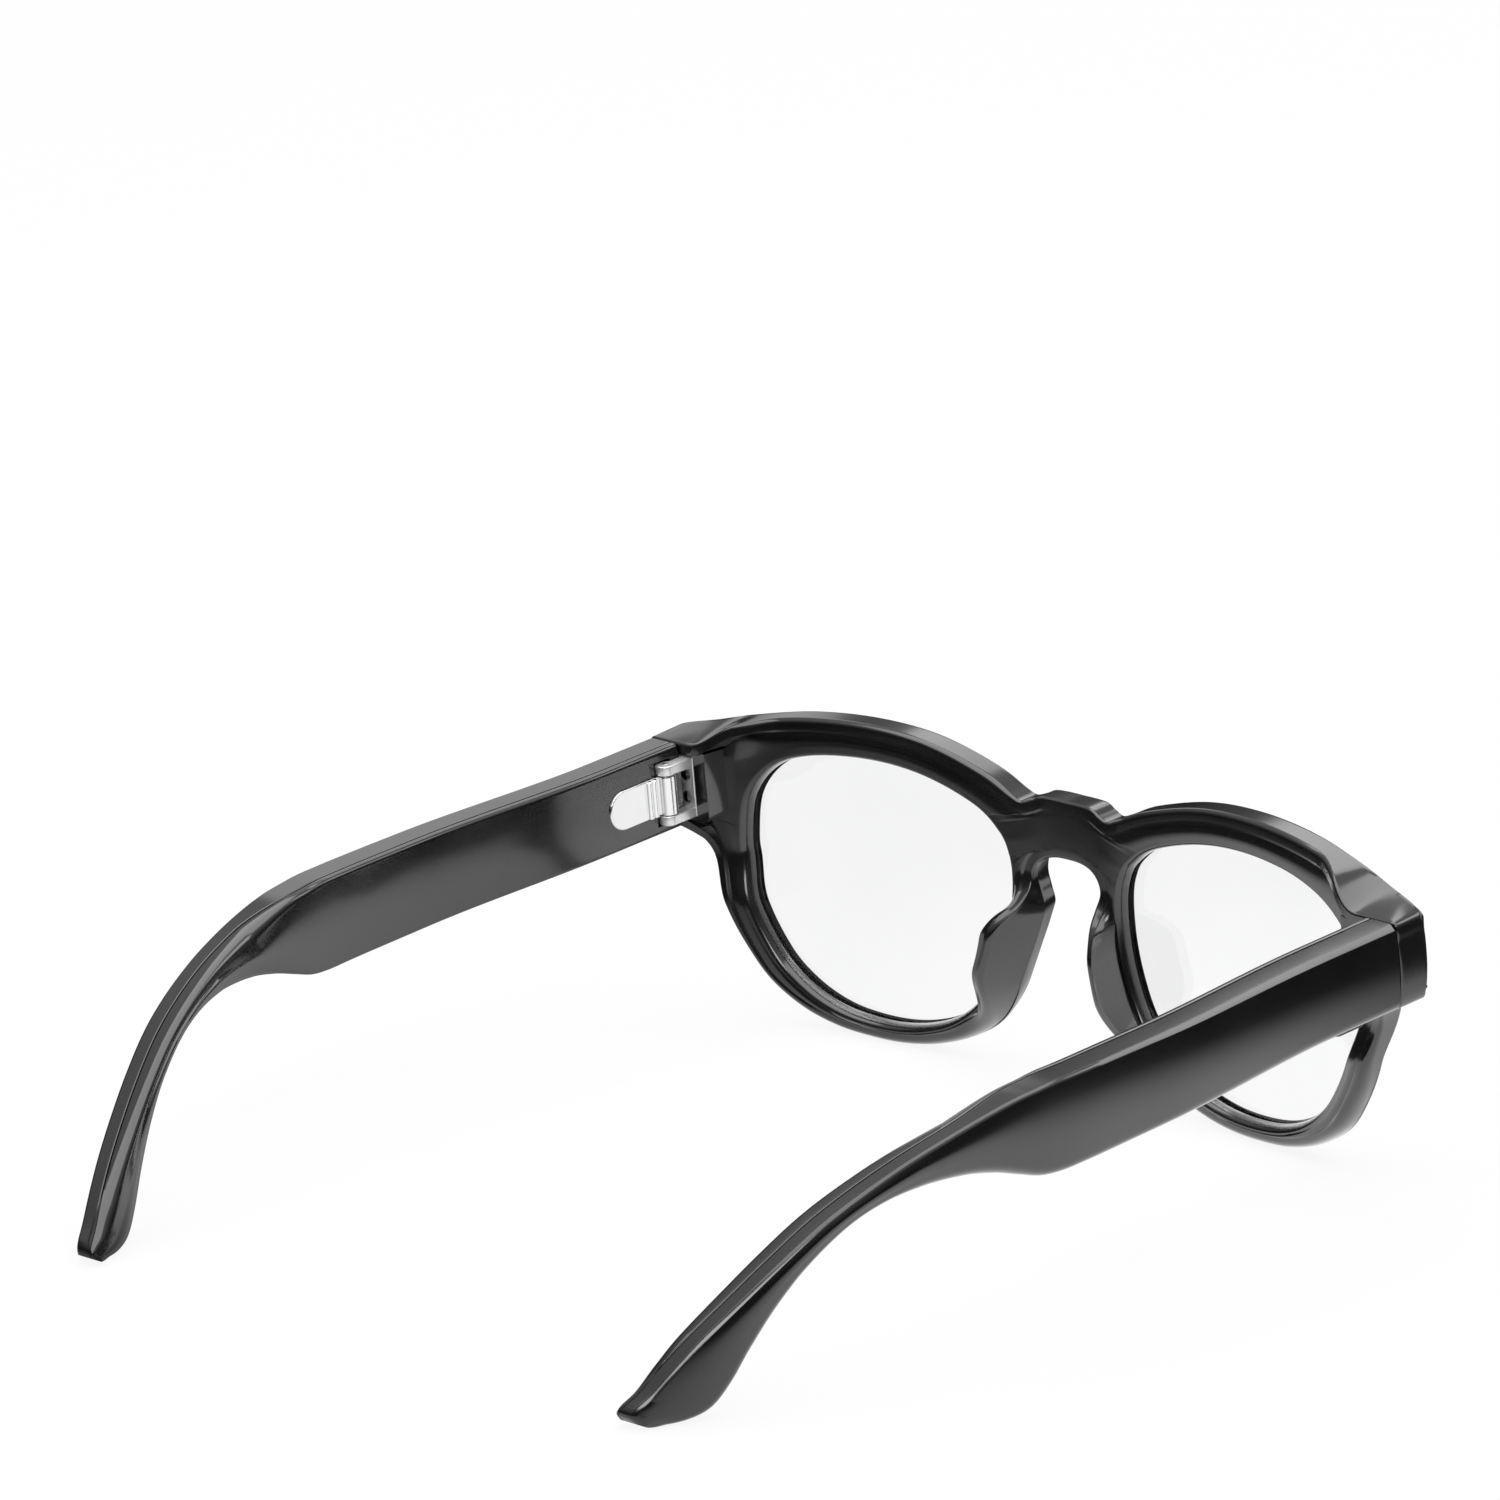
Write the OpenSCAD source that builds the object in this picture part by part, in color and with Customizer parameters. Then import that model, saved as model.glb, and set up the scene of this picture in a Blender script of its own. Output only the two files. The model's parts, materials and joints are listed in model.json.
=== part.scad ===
// Smart glasses: a one-piece front with a camera and a light, and two folding temples that hold the electronics.
// Every piece is drawn as worn, front facing -Y and temples along +Y, then set down on its rims and temple tips.

/* [Front] */
// Width of an end piece outside its lens opening
end_w = 13.3; // [12.5:0.1:16]
// How far the ends of the front sweep back from the bridge
wrap_depth = 9.3; // [4:0.1:11]
// Angle by which the rims lean back below the brow, in degrees
rim_lean = 4.3; // [0:0.1:6]
// Front to back thickness of the rims
rim_t = 5; // [4.6:0.1:5.4]
// Chamfer along the outer front edge
front_chamfer = 1.2; // [0.5:0.1:1.5]
// Rounding of the outer back edge
back_round = 0.9; // [0.4:0.1:1.2]
// How far the bridge stands forward of the rims
bridge_bulge = 0.8; // [0:0.1:1.5]
// Height of the bridge from the nose arch to its top
bridge_h = 8.6; // [7.5:0.1:10]
// How far the top of the bridge stands above the lens openings
bridge_rise = 0.2; // [-0.5:0.1:0.6]
// Height of the rim under a lens
rim_low = 3.3; // [2.8:0.1:4.5]
// Half the gap between the nose pads at their closest
pad_half_gap = 5.3; // [4.5:0.1:6]
// How far the nose pads stand out behind the rims
pad_depth = 6.2; // [4:0.1:8]

/* [Lenses] */
// Width of a lens opening
lens_w = 49.8; // [46:0.1:51]
// Height of a lens opening
lens_h = 39.3; // [36:0.1:41]
// Distance between the two lens openings
lens_gap = 21.8; // [20:0.1:24]
// Thickness of a lens
lens_t = 1.7; // [1.2:0.1:1.9]
// How deep a lens sits in its groove
lens_seat = 0.7; // [0.4:0.05:0.9]
// Width of the bevelled ledge in front of a lens
ledge_w = 1.3; // [0.8:0.1:1.8]
// How far the ledge slopes back from the front face
ledge_depth = 1.2; // [0.8:0.1:1.4]

/* [End pieces] */
// Height of an end piece and its temple
end_h = 12.8; // [12:0.1:15]
// How far an end piece runs back beyond the rim, to the temple
end_depth = 1.3; // [1.2:0.1:4]
// Wall of the end piece around the hinge block
end_wall = 1.6; // [1.2:0.1:2]
// Gap between a temple and its end piece
seam_gap = 0.25; // [0.2:0.05:0.5]

/* [Camera and light] */
// Outer diameter of the camera and light bezels
bezel_d = 6.5; // [6:0.1:7]
// Wall of a bezel ring
bezel_wall = 0.45; // [0.3:0.05:0.7]
// How far a bezel stands proud of the front
bezel_proud = 0.4; // [0.2:0.05:0.7]
// Distance of the camera and light from the ends of the front
eye_inset = 6.6; // [6:0.1:7]
// Distance of the camera and light below the top of the end pieces
eye_drop = 6.2; // [5.8:0.1:6.8]
// Diameter of the camera's inner lens
camera_lens_d = 2.2; // [1.5:0.1:3]
// Width of the light chip
light_chip_w = 1.8; // [1.2:0.1:2.4]

/* [Temples] */
// Thickness of a temple along its straight part
temple_t = 6; // [5.6:0.1:7]
// How much thinner a temple is at its tip
tip_taper = 0.2; // [0:0.1:1.4]
// How far the inner face of a temple curves outwards at the tip
tip_round = 2.2; // [0:0.1:2.4]
// How far a temple bows outwards behind the hinge
temple_bow = 2.0; // [0:0.1:3]
// Radius of the inward bend of the temple behind the ear
bend_radius = 133; // [120:1:200]
// Outer wall of a temple housing
housing_wall = 1.0; // [0.8:0.1:1.2]
// Thickness of a temple's inner cover along the straight part
cover_t = 1.4; // [1.2:0.1:1.6]
// Thickness of a temple's inner cover at the ear
cover_ear_t = 3; // [2:0.1:3.4]
// Seam gap between housing and cover
cover_gap = 0.05; // [0.02:0.01:0.1]

/* [Hinges] */
// Distance of the hinge pins in from the ends of the front
pin_inset = 7.1; // [6.9:0.1:7.5]
// Distance of the hinge pins behind the end pieces
pin_back = 3.8; // [3.4:0.1:5]
// Diameter of a hinge pin
pin_d = 1.2; // [1:0.1:1.4]
// Running clearance between a pin and its temple knuckle, on the radius
pin_clearance = 0.03; // [0.02:0.01:0.06]
// Outer diameter of the knuckles
knuckle_d = 3; // [2.6:0.1:3.2]
// Distance of the hinge from the upper and lower edges of the temple
hinge_margin = 1.8; // [1.4:0.1:2.4]
// Height of the upper and lower knuckles
knuckle_end_h = 1.5; // [1:0.1:1.8]
// Gap between neighbouring knuckles
knuckle_gap = 0.1; // [0.05:0.01:0.2]
// Length of the temple leaf behind the pin
leaf_l = 11.5; // [8:0.1:14]
// Thickness of a hinge leaf
leaf_t = 1.0; // [0.8:0.1:1.2]

/* [Shutter button] */
// Length of the button along the temple
button_l = 6; // [4:0.1:8]
// Width of the button
button_w = 2; // [1.4:0.1:2.4]
// How far the button stands below the temple
button_proud = 0.8; // [0.7:0.1:1.5]
// Travel of the button
button_travel = 0.4; // [0.2:0.05:0.5]
// Gap around the button
button_gap = 0.15; // [0.1:0.05:0.2]

/* [Electronics] */
// Length of a temple battery
battery_l = 32; // [20:1:33]
// Length of a temple circuit board
board_l = 22; // [20:1:24]
// Length of a loudspeaker
speaker_l = 7; // [5:0.5:7]
// Clearance around the inner pieces
inner_gap = 0.2; // [0.1:0.05:0.25]

/* [Hidden] */
$fn = 48;

plastic_black = [0.07, 0.07, 0.075];
metal_bright = [0.8, 0.8, 0.82];
board_green = [0.05, 0.25, 0.15];
eps = 0.01;

// Smooth curves through chosen points
function spline(a, b, c, d, t) =
    0.5 * (2 * b + (c - a) * t + (2 * a - 5 * b + 4 * c - d) * t * t + (3 * b - a - 3 * c + d) * t * t * t);
function open_curve(p, n) = concat(
    [for (i = [0 : len(p) - 2]) for (k = [0 : n - 1])
        spline(p[max(i - 1, 0)], p[i], p[i + 1], p[min(i + 2, len(p) - 1)], k / n)],
    [p[len(p) - 1]]);
function closed_curve(p, n) = [for (i = [0 : len(p) - 1]) for (k = [0 : n - 1])
    spline(p[(i + len(p) - 1) % len(p)], p[i], p[(i + 1) % len(p)], p[(i + 2) % len(p)], k / n)];
function smooth(t) = let (c = min(max(t, 0), 1)) c * c * (3 - 2 * c);
function unit(v) = v / norm(v);

// Lens shape: share of the half width, share of the half height, and width of the rim outside that point
lens_keys = [
    [1.00, 0.22, 6.7], [0.944, 0.57, 8], [0.763, 0.827, 8.05], [0.494, 0.954, 5.95], [0.08, 1.0, 5.5],
    [-0.327, 0.962, 5.5], [-0.712, 0.832, 5.7], [-0.90, 0.679, 7.2], [-0.976, 0.527, 6], [-1.0, 0.333, 4.4],
    [-0.98, 0.045, 5], [-0.925, -0.217, 4.5], [-0.837, -0.465, 4.3], [-0.702, -0.683, 4.1], [-0.525, -0.848, 3.6],
    [-0.322, -0.947, 3.4], [-0.11, -0.994, rim_low], [0.11, -0.994, rim_low], [0.325, -0.951, 3.55],
    [0.525, -0.847, 4.0], [0.70, -0.678, 4.5], [0.83, -0.457, 4.65], [0.925, -0.215, 4.8], [0.986, 0.04, 5.3]
];
front_w = lens_gap + 2 * (lens_w + end_w);
half_w = front_w / 2;
lens_top = rim_low + lens_h;
bridge_top = lens_top + bridge_rise;
arch_top = bridge_top - bridge_h;
end_top = lens_top;
end_low = end_top - end_h;
lens_c = [lens_gap / 2 + lens_w / 2, rim_low + lens_h / 2];
hub_rise = 6;
hub = lens_c + [0, hub_rise];
function lens_key(i) = lens_c + [lens_keys[i][0] * lens_w / 2, lens_keys[i][1] * lens_h / 2];
function rim_key(i) =
    let (n = len(lens_keys), t = unit(lens_key((i + 1) % n) - lens_key((i + n - 1) % n)))
    lens_key(i) + [t[1], -t[0]] * lens_keys[i][2];

// Distance from the hub to the edge of the lens opening, by angle
lens_edge = closed_curve([for (i = [0 : len(lens_keys) - 1]) lens_key(i)], 4);
function turn(p) = atan2(p[1] - hub[1], p[0] - hub[0]);
first_turn = turn(lens_edge[0]);
full_turn = 360;
function past_first(a) =
    a < first_turn - eps ? past_first(a + full_turn) :
    a >= first_turn + full_turn - eps ? past_first(a - full_turn) : a;
lens_polar = concat(
    [for (p = lens_edge) [past_first(turn(p)), norm(p - hub)]],
    [[first_turn + full_turn, norm(lens_edge[0] - hub)]]);
function lens_at(a, grow) = hub + (lookup(past_first(a), lens_polar) + grow) * [cos(a), sin(a)];

// Outer edge of the front, from the top of the bridge round the end piece and the rim to the arch
bridge_flat = 4.7;
corner_in = 1.0;
end_mid = (end_top + end_low) / 2;
outline_keys = concat(
    [[0, bridge_top], [bridge_flat, bridge_top], [rim_key(7)[0] - 1.9, rim_key(7)[1] + 0.5], rim_key(7),
        rim_key(7) + [2.1, 0.7]],
    [for (i = [6, 5, 4, 3, 2]) rim_key(i)],
    [[half_w - 8, end_top + 1.75], [half_w - corner_in, end_top + 0.1],
        [half_w - 0.2, end_mid + 3.2], [half_w, end_mid], [half_w - 0.2, end_mid - 3.2],
        [half_w - corner_in, end_low + 0.1], [half_w - 2.7, end_low - 0.1], [half_w - 4.6, end_low - 0.6],
        [half_w - 6.4, end_low - 2.2], rim_key(0) + [-1.1, -2.6]],
    [for (i = [22 : -1 : 11]) rim_key(i)],
    [[pad_half_gap + 0.9, arch_top - 11.2], [pad_half_gap, arch_top - 8.4], [pad_half_gap + 0.7, arch_top - 5.9],
        [pad_half_gap + 1.3, arch_top - 3.8], [pad_half_gap + 0.8, arch_top - 2],
        [pad_half_gap - 0.7, arch_top - 0.7], [pad_half_gap - 2.9, arch_top - 0.1], [0, arch_top]]);
edge = open_curve(outline_keys, 2);
edge_n = len(edge);
mid_points = 2;
ring = concat(edge, [for (k = [1 : mid_points])
    [0, arch_top + (bridge_top - arch_top) * (0.25 + 0.5 * k / (mid_points + 1))]]);
ring_n = len(ring);
function edge_inward(i) =
    i >= edge_n ? [0, 0] :
    i == 0 ? [0, -1] :
    i == edge_n - 1 ? [0, 1] :
    let (t = unit(edge[i + 1] - edge[i - 1])) [t[1], -t[0]];
function edge_inset(i, d) = ring[i] + edge_inward(i) * d;

// Angle of each ring point seen from the hub, always falling
raw_turns = [for (p = ring) turn(p)];
least_turn = 0.15;
most_back = 20;
function fall(from, to) =
    let (d = to - from, d1 = d - full_turn * ceil((d - most_back) / full_turn)) from + min(d1, -least_turn);
ring_turns = [for (i = 0, a = raw_turns[0]; i < ring_n; i = i + 1, a = fall(a, raw_turns[min(i, ring_n - 1)])) a];

// Depth of the front: swept back to the ends, and full at the bridge
wrap_power = 2.5;
bridge_half = 9;
function side_y(x) =
    wrap_depth * pow(abs(x) / half_w, wrap_power) - bridge_bulge * max(0, 1 - pow(x / bridge_half, 2));
function front_y(x) = side_y(x) - front_chamfer;
seam_y = front_y(half_w) + rim_t + end_depth;
lip_run = 5;
upper_lip_in = 14;
lower_lip_in = 8.5;
function rim_back_y(x) = front_y(x) + rim_t;
function lip_y(p) =
    let (b = rim_back_y(p[0]), start = half_w - (p[1] > end_mid ? upper_lip_in : lower_lip_in))
    b + (seam_y - b) * smooth((p[0] - start) / lip_run);

// The rims lean back below the brow, and the end pieces stay upright
brow_z = bridge_top + 4;
upright_in = 24;
upright_run = 11;
upright_low = end_low - 12;
upright_rise = 8;
function lean_y(p) = tan(rim_lean) * (brow_z - p[1]) *
    (1 - smooth((p[0] - half_w + upright_in) / upright_run) * smooth((p[1] - upright_low) / upright_rise));

// Nose pads: ridges behind the rims beside the nose, which slope away from it towards the back
pad_high = arch_top - 3.5;
pad_run_in = 7.5;
pad_low = rim_low;
pad_run_out = 13;
function pad_share(p) = p[0] > lens_c[0] ? 0 :
    smooth((p[1] - pad_low) / pad_run_out) * smooth((pad_high - p[1]) / pad_run_in);
pad_edge_in = [["step", 0.5], ["rear", 1.3], ["wall", 2.3]];

// The outer back edge is rounded off further down the rims
low_round_share = 0.72;
low_round_run = 25;
function low_y(p) = low_round_share * (rim_t - front_chamfer - back_round) *
    smooth((end_low - p[1]) / low_round_run) * (1 - pad_share(p));
rear_low_share = 0.2;

// The chamfer runs deeper beside the nose
nose_set_back = 2.2;
function nose_y(p) = p[0] > lens_c[0] || p[1] > arch_top ? 0 :
    nose_set_back * smooth(p[0] / pad_half_gap) * smooth((p[1] - pad_low) / pad_run_out);

groove_front = ledge_depth;
groove_bevel = 0.15;
groove_clear = 0.1;
groove_w = lens_t + 2 * groove_clear;
groove_depth = lens_seat + groove_clear;
step_in = 0.35;

// Loops of the front, round the section of the rim from the front face through the lens groove to the back and side
function at_depth(p, y) = [p[0], y + lean_y(p), p[1]];
function opening_loop(grow, y) = [for (i = [0 : ring_n - 1])
    let (p = lens_at(ring_turns[i], grow)) at_depth(p, front_y(p[0]) + y)];
function rim_width(i) = norm(lens_at(ring_turns[i], 0) - ring[i]);
function pad_inset(i, d, from_lens) = d + (rim_width(i) - from_lens - d) * pad_share(ring[i]);
function inset_loop(d, kind) = [for (i = [0 : ring_n - 1])
    let (k = search([kind], pad_edge_in)[0],
        p = edge_inset(i, is_num(k) ? pad_inset(i, d, pad_edge_in[k][1]) : d),
        pad = pad_depth * pad_share(ring[i]))
    at_depth(p,
        kind == "face" ? front_y(p[0]) :
        kind == "side" ? side_y(ring[i][0]) + nose_y(ring[i]) :
        kind == "step" ? rim_back_y(p[0]) + pad :
        kind == "rear" ? lip_y(ring[i]) + pad - rear_low_share * low_y(ring[i]) :
        lip_y(ring[i]) + pad - back_round - low_y(ring[i]))];
front_loops = [
    opening_loop(ledge_w, 0),
    opening_loop(0, groove_front - groove_bevel),
    opening_loop(groove_depth, groove_front),
    opening_loop(groove_depth, groove_front + groove_w),
    opening_loop(0, groove_front + groove_w + groove_bevel),
    opening_loop(back_round, rim_t),
    inset_loop(end_wall + step_in, "step"),
    inset_loop(end_wall, "rear"),
    inset_loop(0, "wall"),
    inset_loop(0, "side"),
    inset_loop(front_chamfer, "face")
];
loop_n = len(front_loops);
first_wall = 6;
function ring_faces(l, base, swap) =
    let (m = (l + 1) % loop_n, whole = l < first_wall || l == loop_n - 1, last = whole ? ring_n - 1 : edge_n - 2)
    [for (i = [0 : last]) let (j = (i + 1) % ring_n,
            a = base + l * ring_n + i, b = base + l * ring_n + j,
            c = base + m * ring_n + i, d = base + m * ring_n + j)
        each swap ? [[a, c, b], [b, c, d]] : [[a, b, c], [b, d, c]]];
function flat(list) = [for (l = list) each l];
function flip_points(list) = [for (p = list) [-p[0], p[1], p[2]]];
front_half = flat(front_loops);
front_points = concat(front_half, flip_points(front_half));
front_faces = concat(
    [for (l = [0 : loop_n - 1]) each ring_faces(l, 0, false)],
    [for (l = [0 : loop_n - 1]) each ring_faces(l, len(front_half), true)]);

// Temple side shape: upper edge y and z, lower edge y and z, from the hinge end to the tip
temple_y0 = seam_y + seam_gap;
temple_top = end_top - 0.1;
temple_low = end_low - 0.1;
pin_x = half_w - pin_inset;
pin_y = seam_y + pin_back;
button_y = pin_y + 4.8;
board_y0 = button_y - 2;
battery_y0 = board_y0 + board_l + 2;
speaker_y0 = battery_y0 + battery_l + 3;
speaker_y1 = speaker_y0 + speaker_l;
ear_y = speaker_y1 + 1;
straight_y = temple_y0 + 15;
temple_keys = concat(
    [for (r = [[temple_y0, 0, 0], [straight_y, 0, 0], [ear_y - 38, 0.1, -0.2], [ear_y - 18, 0.2, -0.4],
            [ear_y - 8, 0.2, -0.5], [ear_y - 3.5, 0.2, -0.5], [ear_y, 0, -0.1]])
        [r[0], temple_top + r[1], r[0], temple_low + r[2]]],
    [[ear_y + 4, temple_top - 0.3, ear_y + 3.5, temple_low + 1.1],
        [ear_y + 9, temple_top - 1.1, ear_y + 7.5, temple_low + 2.5]],
    [for (r = [[15, -2.4, 12.5, -9.2], [22, -4.3, 19, -8.8], [29, -6.9, 25, -9.3], [35, -9.8, 30.5, -11.2],
            [41, -13.7, 36, -14.9], [47, -18.1, 41, -19.8], [52, -22, 45, -24.9], [56, -25.6, 48, -29.3],
            [59, -28.5, 50.8, -32.3], [61, -30.1, 54, -33.4], [61.6, -31.2, 57.8, -33.5], [61, -32.3, 59.6, -33.1]])
        [ear_y + r[0], temple_top + r[1], ear_y + r[2], temple_top + r[3]]]);
temple_rows = open_curve(temple_keys, 2);
bow_start = straight_y - 1.6;
bow_end = ear_y - 24;
bend_start = ear_y - 12;
temple_x0 = half_w - 0.3;
function outer_x(y) = temple_x0 + temple_bow * smooth((y - bow_start) / (bow_end - bow_start))
    - pow(max(0, y - bend_start), 2) / (2 * bend_radius);
taper_l = 50;
function thickness(y) = temple_t - tip_taper * smooth((y - ear_y) / taper_l);
round_y = ear_y + 52;
round_l = 9.6;
function tip_in(y) = tip_round * pow(max(0, y - round_y) / round_l, 2);
cover_rise_l = 14;
function cover_depth(y) = cover_t + (cover_ear_t - cover_t) * smooth((y - ear_y) / cover_rise_l);

// A point of a temple: a share of its thickness less a share of its cover, and a depth, counted from the outer
// face, then a share of the row's height and a distance, counted from the lower edge
function temple_point(row, s) =
    let (low = [row[2], row[3]], high = [row[0], row[1]], h = norm(high - low),
        q = low + (high - low) * ((s[3] * h + s[4]) / h))
    [outer_x(q[0]) - s[0] * thickness(q[0]) + s[1] * cover_depth(q[0]) + (s[0] - s[1]) * tip_in(q[0]) - s[2],
        q[0], q[1]];
module loft(rows, section) {
    n = len(section);
    m = len(rows);
    polyhedron(
        points = [for (r = rows) for (s = section) temple_point(r, s)],
        faces = concat(
            [[for (k = [n - 1 : -1 : 0]) k]],
            [[for (k = [0 : n - 1]) (m - 1) * n + k]],
            [for (i = [0 : m - 2]) for (k = [0 : n - 1]) let (j = (k + 1) % n)
                each [[i * n + k, i * n + j, (i + 1) * n + k], [i * n + j, (i + 1) * n + j, (i + 1) * n + k]]]));
}
edge_chamfer = 0.5;
low_round = 1.4;
cover_round = 0.6;
housing_section = [
    [1, 1, 0, 0, 0], [0, 0, low_round, 0, 0], [0, 0, 0.3 * low_round, 0, 0.3 * low_round], [0, 0, 0, 0, low_round],
    [0, 0, 0, 1, -edge_chamfer], [0, 0, edge_chamfer, 1, 0], [1, 1, 0, 1, 0]
];
cover_section = [
    [1, 1, cover_gap, 0, 0], [1, 1, cover_gap, 1, 0], [1, 0, -cover_round, 1, 0],
    [1, 0, 0, 1, -cover_round], [1, 0, 0, 0, cover_round], [1, 0, -cover_round, 0, 0]
];
cavity_wall = 1.3;
cavity_start = temple_y0 + cavity_wall;
cavity_end = ear_y + 1.5;
cavity_section = [
    [0, 0, housing_wall, 0, cavity_wall], [0, 0, housing_wall, 1, -cavity_wall],
    [1, 0, 1, 1, -cavity_wall], [1, 0, 1, 0, cavity_wall]
];
cavity_rows = concat(
    [[cavity_start, temple_top, cavity_start, temple_low]],
    [for (r = temple_rows) if (r[0] > cavity_start + 1 && r[0] < cavity_end) r]);

// A block that follows the temple's curve between two distances behind the bridge
inner_steps = 6;
module along(y0, y1, w0, w1, z0, z1) {
    rows = [for (k = [0 : inner_steps]) let (y = y0 + (y1 - y0) * k / inner_steps) [y, z1, y, z0]];
    loft(rows, [[0, 0, w0, 0, 0], [0, 0, w0, 1, 0], [0, 0, w1, 1, 0], [0, 0, w1, 0, 0]]);
}

// Setting down: the glasses lean until the rims and the temple tips share a level, centred on the origin
function tilted(p, a) = [p[0], p[1] * cos(a) + p[2] * sin(a), p[2] * cos(a) - p[1] * sin(a)];
function lowest(list, a) =
    let (z = min([for (p = list) tilted(p, a)[2]])) [for (p = list) if (tilted(p, a)[2] <= z + eps / 10) p][0];
function lean(a) =
    let (rim = lowest(front_half, a), tip = lowest([for (r = temple_rows) if (r[2] > bend_start) [0, r[2], r[3]]], a))
    atan2(tip[2] - rim[2], tip[1] - rim[1]);
stand_tilt = lean(lean(lean(4)));
front_tilted = [for (p = front_half) tilted(p, stand_tilt)];
stand_z = min([for (p = front_tilted) p[2]]);
stand_y0 = min([for (p = front_tilted) p[1]]);
stand_y1 = max([for (r = temple_rows) tilted([0, r[0], r[1]], stand_tilt)[1]]);
stand_mid = (stand_y0 + stand_y1) / 2;
module stand() {
    translate([0, -stand_mid, -stand_z]) rotate([-stand_tilt, 0, 0]) children();
}
module stand_right() {
    stand() mirror([1, 0, 0]) children();
}

// Camera and light: local axes with the front surface at y = 0 and the outside at -Y
eye_x = half_w - eye_inset;
eye_z = end_top - eye_drop;
eye_slope = 2;
eye_turn = atan2(front_y(eye_x + eye_slope) - front_y(eye_x - eye_slope), 2 * eye_slope) / 2;
bezel_r = bezel_d / 2;
bore_clear = 0.03;
window_r = bezel_r - bezel_wall - bore_clear;
window_t = 0.6;
window_in = 0.1;
module at_eye() {
    translate([eye_x, front_y(eye_x), eye_z]) rotate([0, 0, eye_turn]) children();
}
module disc(r, y0, y1) {
    translate([0, y0, 0]) rotate([-90, 0, 0]) cylinder(r = r, h = y1 - y0);
}
bezel_back = 2.2;
module bezel() {
    difference() {
        disc(bezel_r, -bezel_proud, bezel_back);
        disc(bezel_r - bezel_wall, -bezel_proud - 1, bezel_back + 1);
    }
}
module window() {
    disc(window_r, window_in - bezel_proud, window_in - bezel_proud + window_t);
}
barrel_front = window_in - bezel_proud + window_t + inner_gap;
barrel_back = rim_t - 0.9;
camera_lens_r = camera_lens_d / 2;
module barrel() {
    difference() {
        disc(window_r, barrel_front, barrel_back);
        disc(camera_lens_r + bore_clear, barrel_front - 1, barrel_back + 1);
        translate([0, barrel_front - eps, 0]) rotate([-90, 0, 0])
            cylinder(r1 = window_r - 0.3, r2 = camera_lens_r + bore_clear, h = 1);
    }
}
camera_dome = 0.5;
module inner_lens() {
    intersection() {
        disc(camera_lens_r, barrel_front, barrel_back - 1);
        translate([0, barrel_front + camera_dome + camera_lens_d, 0]) sphere(r = camera_lens_d);
    }
}
sensor_w = 4;
sensor_t = 1;
module sensor() {
    translate([-sensor_w / 2, barrel_back + inner_gap, -sensor_w / 2]) cube([sensor_w, sensor_t, sensor_w]);
}
cup_rim = 0.35;
module reflector() {
    difference() {
        disc(window_r, barrel_front, barrel_back);
        translate([0, barrel_front - eps, 0]) rotate([-90, 0, 0])
            cylinder(r1 = window_r - cup_rim, r2 = light_chip_w, h = barrel_back - barrel_front + 2 * eps);
    }
}
light_board_t = 0.8;
light_board_r = 2.6;
chip_t = 0.6;
module chip() {
    translate([-light_chip_w / 2, barrel_back + inner_gap - chip_t, -light_chip_w / 2])
        cube([light_chip_w, chip_t, light_chip_w]);
}
module round_board() {
    disc(light_board_r, barrel_back + inner_gap, barrel_back + inner_gap + light_board_t);
}
eye_pocket = barrel_back + sensor_t + 2 * inner_gap;
module eye_bore() {
    at_eye() disc(bezel_r + bore_clear, -5, rim_t + 1.4);
}

// Hinges, drawn for the left side
hinge_z = (temple_top + temple_low) / 2 - 0.1;
knuckle_mid_h = end_h - 2 * (hinge_margin + knuckle_end_h + knuckle_gap);
knuckle_r = knuckle_d / 2;
pin_r = pin_d / 2;
mid_low = hinge_z - knuckle_mid_h / 2;
mid_high = hinge_z + knuckle_mid_h / 2;
end_low_z = mid_low - knuckle_gap - knuckle_end_h;
end_high_z = mid_high + knuckle_gap + knuckle_end_h;
plate_t = leaf_t;
block_back = seam_y - 0.2 - plate_t;
block_x0 = pin_x - 3.4;
block_x1 = half_w - end_wall - step_in - 0.35;
block_low = end_low + end_wall + 0.5;
block_high = end_top - end_wall - 0.5;
block_clear = 0.2;
leaf_face = temple_x0 - temple_t;
leaf_back = leaf_face + 0.3;
plate_x0 = pin_x - 1.6;
plate_x1 = pin_x + knuckle_r;
web_x1 = leaf_face - 0.3;
screw_r = 0.5;
screw_head_r = 0.9;
screw_head_t = 0.5;
screw_l = 1.3;
screw_x = pin_x;
screw_zs = [hinge_z - 1.7, hinge_z + 1.7];
module post(r, z0, z1) {
    translate([pin_x, pin_y, z0]) cylinder(r = r, h = z1 - z0);
}
module hinge_block() {
    color(plastic_black) difference() {
        translate([0, 0, block_low]) linear_extrude(block_high - block_low)
            polygon(concat(
                [for (k = [0 : 3])
                    let (x = block_x0 + (block_x1 - block_x0) * k / 3) [x, rim_back_y(x) + block_clear]],
                [[block_x1, block_back], [block_x0, block_back]]));
        at_eye() disc(light_board_r + 0.5, -5, eye_pocket);
        screw_holes();
    }
}
module screw_holes() {
    for (z = screw_zs)
        translate([screw_x, block_back - screw_l, z]) rotate([-90, 0, 0])
            cylinder(r = screw_r, h = screw_l + plate_t + 1);
}
module screw_heads() {
    for (z = screw_zs)
        translate([screw_x, block_back + plate_t - screw_head_t, z]) rotate([-90, 0, 0])
            cylinder(r = screw_head_r, h = screw_head_t);
}
module hinge_screws() {
    color(metal_bright) for (z = screw_zs) {
        translate([screw_x, block_back - screw_l, z]) rotate([-90, 0, 0])
            cylinder(r = screw_r, h = screw_l + plate_t);
        translate([screw_x, block_back + plate_t - screw_head_t, z]) rotate([-90, 0, 0])
            cylinder(r = screw_head_r, h = screw_head_t);
    }
}
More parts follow.
